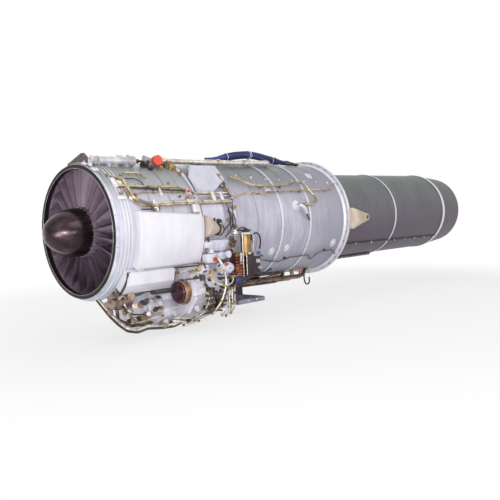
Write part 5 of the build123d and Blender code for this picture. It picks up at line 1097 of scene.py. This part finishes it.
def strand(number, count, twist, spread):
    """One strand: the harness line with a slow twist round it, drawn together at both ends."""
    places = []
    steps = 60
    for k in range(steps + 1):
        t = k / steps
        spot = t * (len(harness_line) - 1)
        j = min(int(spot), len(harness_line) - 2)
        middle = harness_line[j].lerp(harness_line[j + 1], spot - j)
        swell = min(1.0, 0.3 + 3.2 * t, 0.45 + 3.0 * (1 - t)) * (1 + 0.04 * sin(9 * t + number))
        a = 2 * pi * number / count + twist * t
        places.append(middle + 0.001 * spread * swell * Vector((0, cos(a), sin(a))))
    return places


harness_strands = pipework("harness_strands", harness_dark, "blue_wrap", (13.0, strand(0, 1, 0, 0)),
    *[(10.3, strand(n, 8, 2.4, harness_r)) for n in (0, 1, 2, 4, 5, 6)])
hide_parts("wiring_harness")
pipework("harness_sleeves", harness_light, "blue_wrap", *[(10.3, strand(n, 8, 2.4,
    harness_r)) for n in (3, 7)])
pipework("harness_ties", bracket_alloy, "pale_paint", *[
    (2.6, [middle + mm(0, tie_r * cos(a), tie_r * sin(a)) for a in (2 * pi * k / 24 for k in range(24))]
     + [middle + mm(0, tie_r, 0)]) for middle in (strand(0, 1, 0, 0)[k] for k in tie_steps)])
fitted("harness_plugs", dark_plastic,
    spun=[(at(2236, -4, 511), aft, 16, [(0, 20), (10, 23), (40, 23), (44, 17), (70, 17)]),
    (at(2210, 4, 500), (1, -0.3, -0.1), 14, [(0, 13), (10, 16), (40, 16), (44, 12), (60, 12)]),
    (at(2200, 10, 496), (1, -0.5, -0.2), 14, [(0, 11), (10, 14), (34, 14), (38, 10), (54, 10)]),
    (at(2120, 8, 496), (0.6, -0.8, -0.1), 14, [(0, 11), (10, 14), (34, 14), (38, 10), (50, 10)])])
fitted("harness_saddles", bracket_alloy, pads=[(1290, 4, 482, 22, 92, 14, 2),
    (2080, -1, 484, 22, 92, 14, 2), (1640, 8, 505, 20, 40, 56, 3)])

# Starboard lines: plain steel pipes with brass nuts, laid in clips as on the port side.
# A dark painted box feeds the igniters on this side.
far_runs = [(6.0, route((80, 300, 482), (300, 300, 482), (420, 292, 482), (690, 292, 490),
    (1010, 292, 504))), (5.0, route((100, 270, 482), (400, 270, 482), (480, 262, 482), (690, 262, 490),
    (1000, 262, 504), (1060, 262, 504), (1500, 258, 504), (1580, 258, 504), (1900, 250, 504))),
    (8.0, route((1000, 310, 506), (1560, 310, 506), (1600, 318, 506), (2200, 318, 500), (2400, 318, 500))),
    (5.0, route((1040, 235, 506), (1540, 235, 506), (1600, 228, 506), (2300, 228, 500)))]
pipework("starboard_pipes", silver_tube, "pipe_steel", *far_runs)
grown("starboard_pipe_nuts", collar_tree, [run for r, run in far_runs], bronze_metal, pitch=240,
    radius=12, height=20)
fitted("starboard_clips", bracket_alloy, pads=[(*spot, 18, 34, 28, 3) for spot in (
    (200, 300, 477), (560, 292, 480), (860, 292, 494), (240, 270, 477), (600, 262, 480),
    (860, 262, 494), (1200, 310, 490), (1460, 310, 490), (1760, 318, 490), (2160, 318, 488),
    (1240, 235, 490), (1760, 228, 490), (2140, 228, 488), (1240, 260, 490), (1760, 254, 490))])
fitted("ignition_box", dark_unit, pads=[(840, 285, 506, 210, 150, 44, 8)],
    spun=[(at(950, 284, 506), aft, 14, 2, 18, 16, 13, 40), (at(950, 291, 506), aft, 14, 2, 14, 16, 10, 36)])
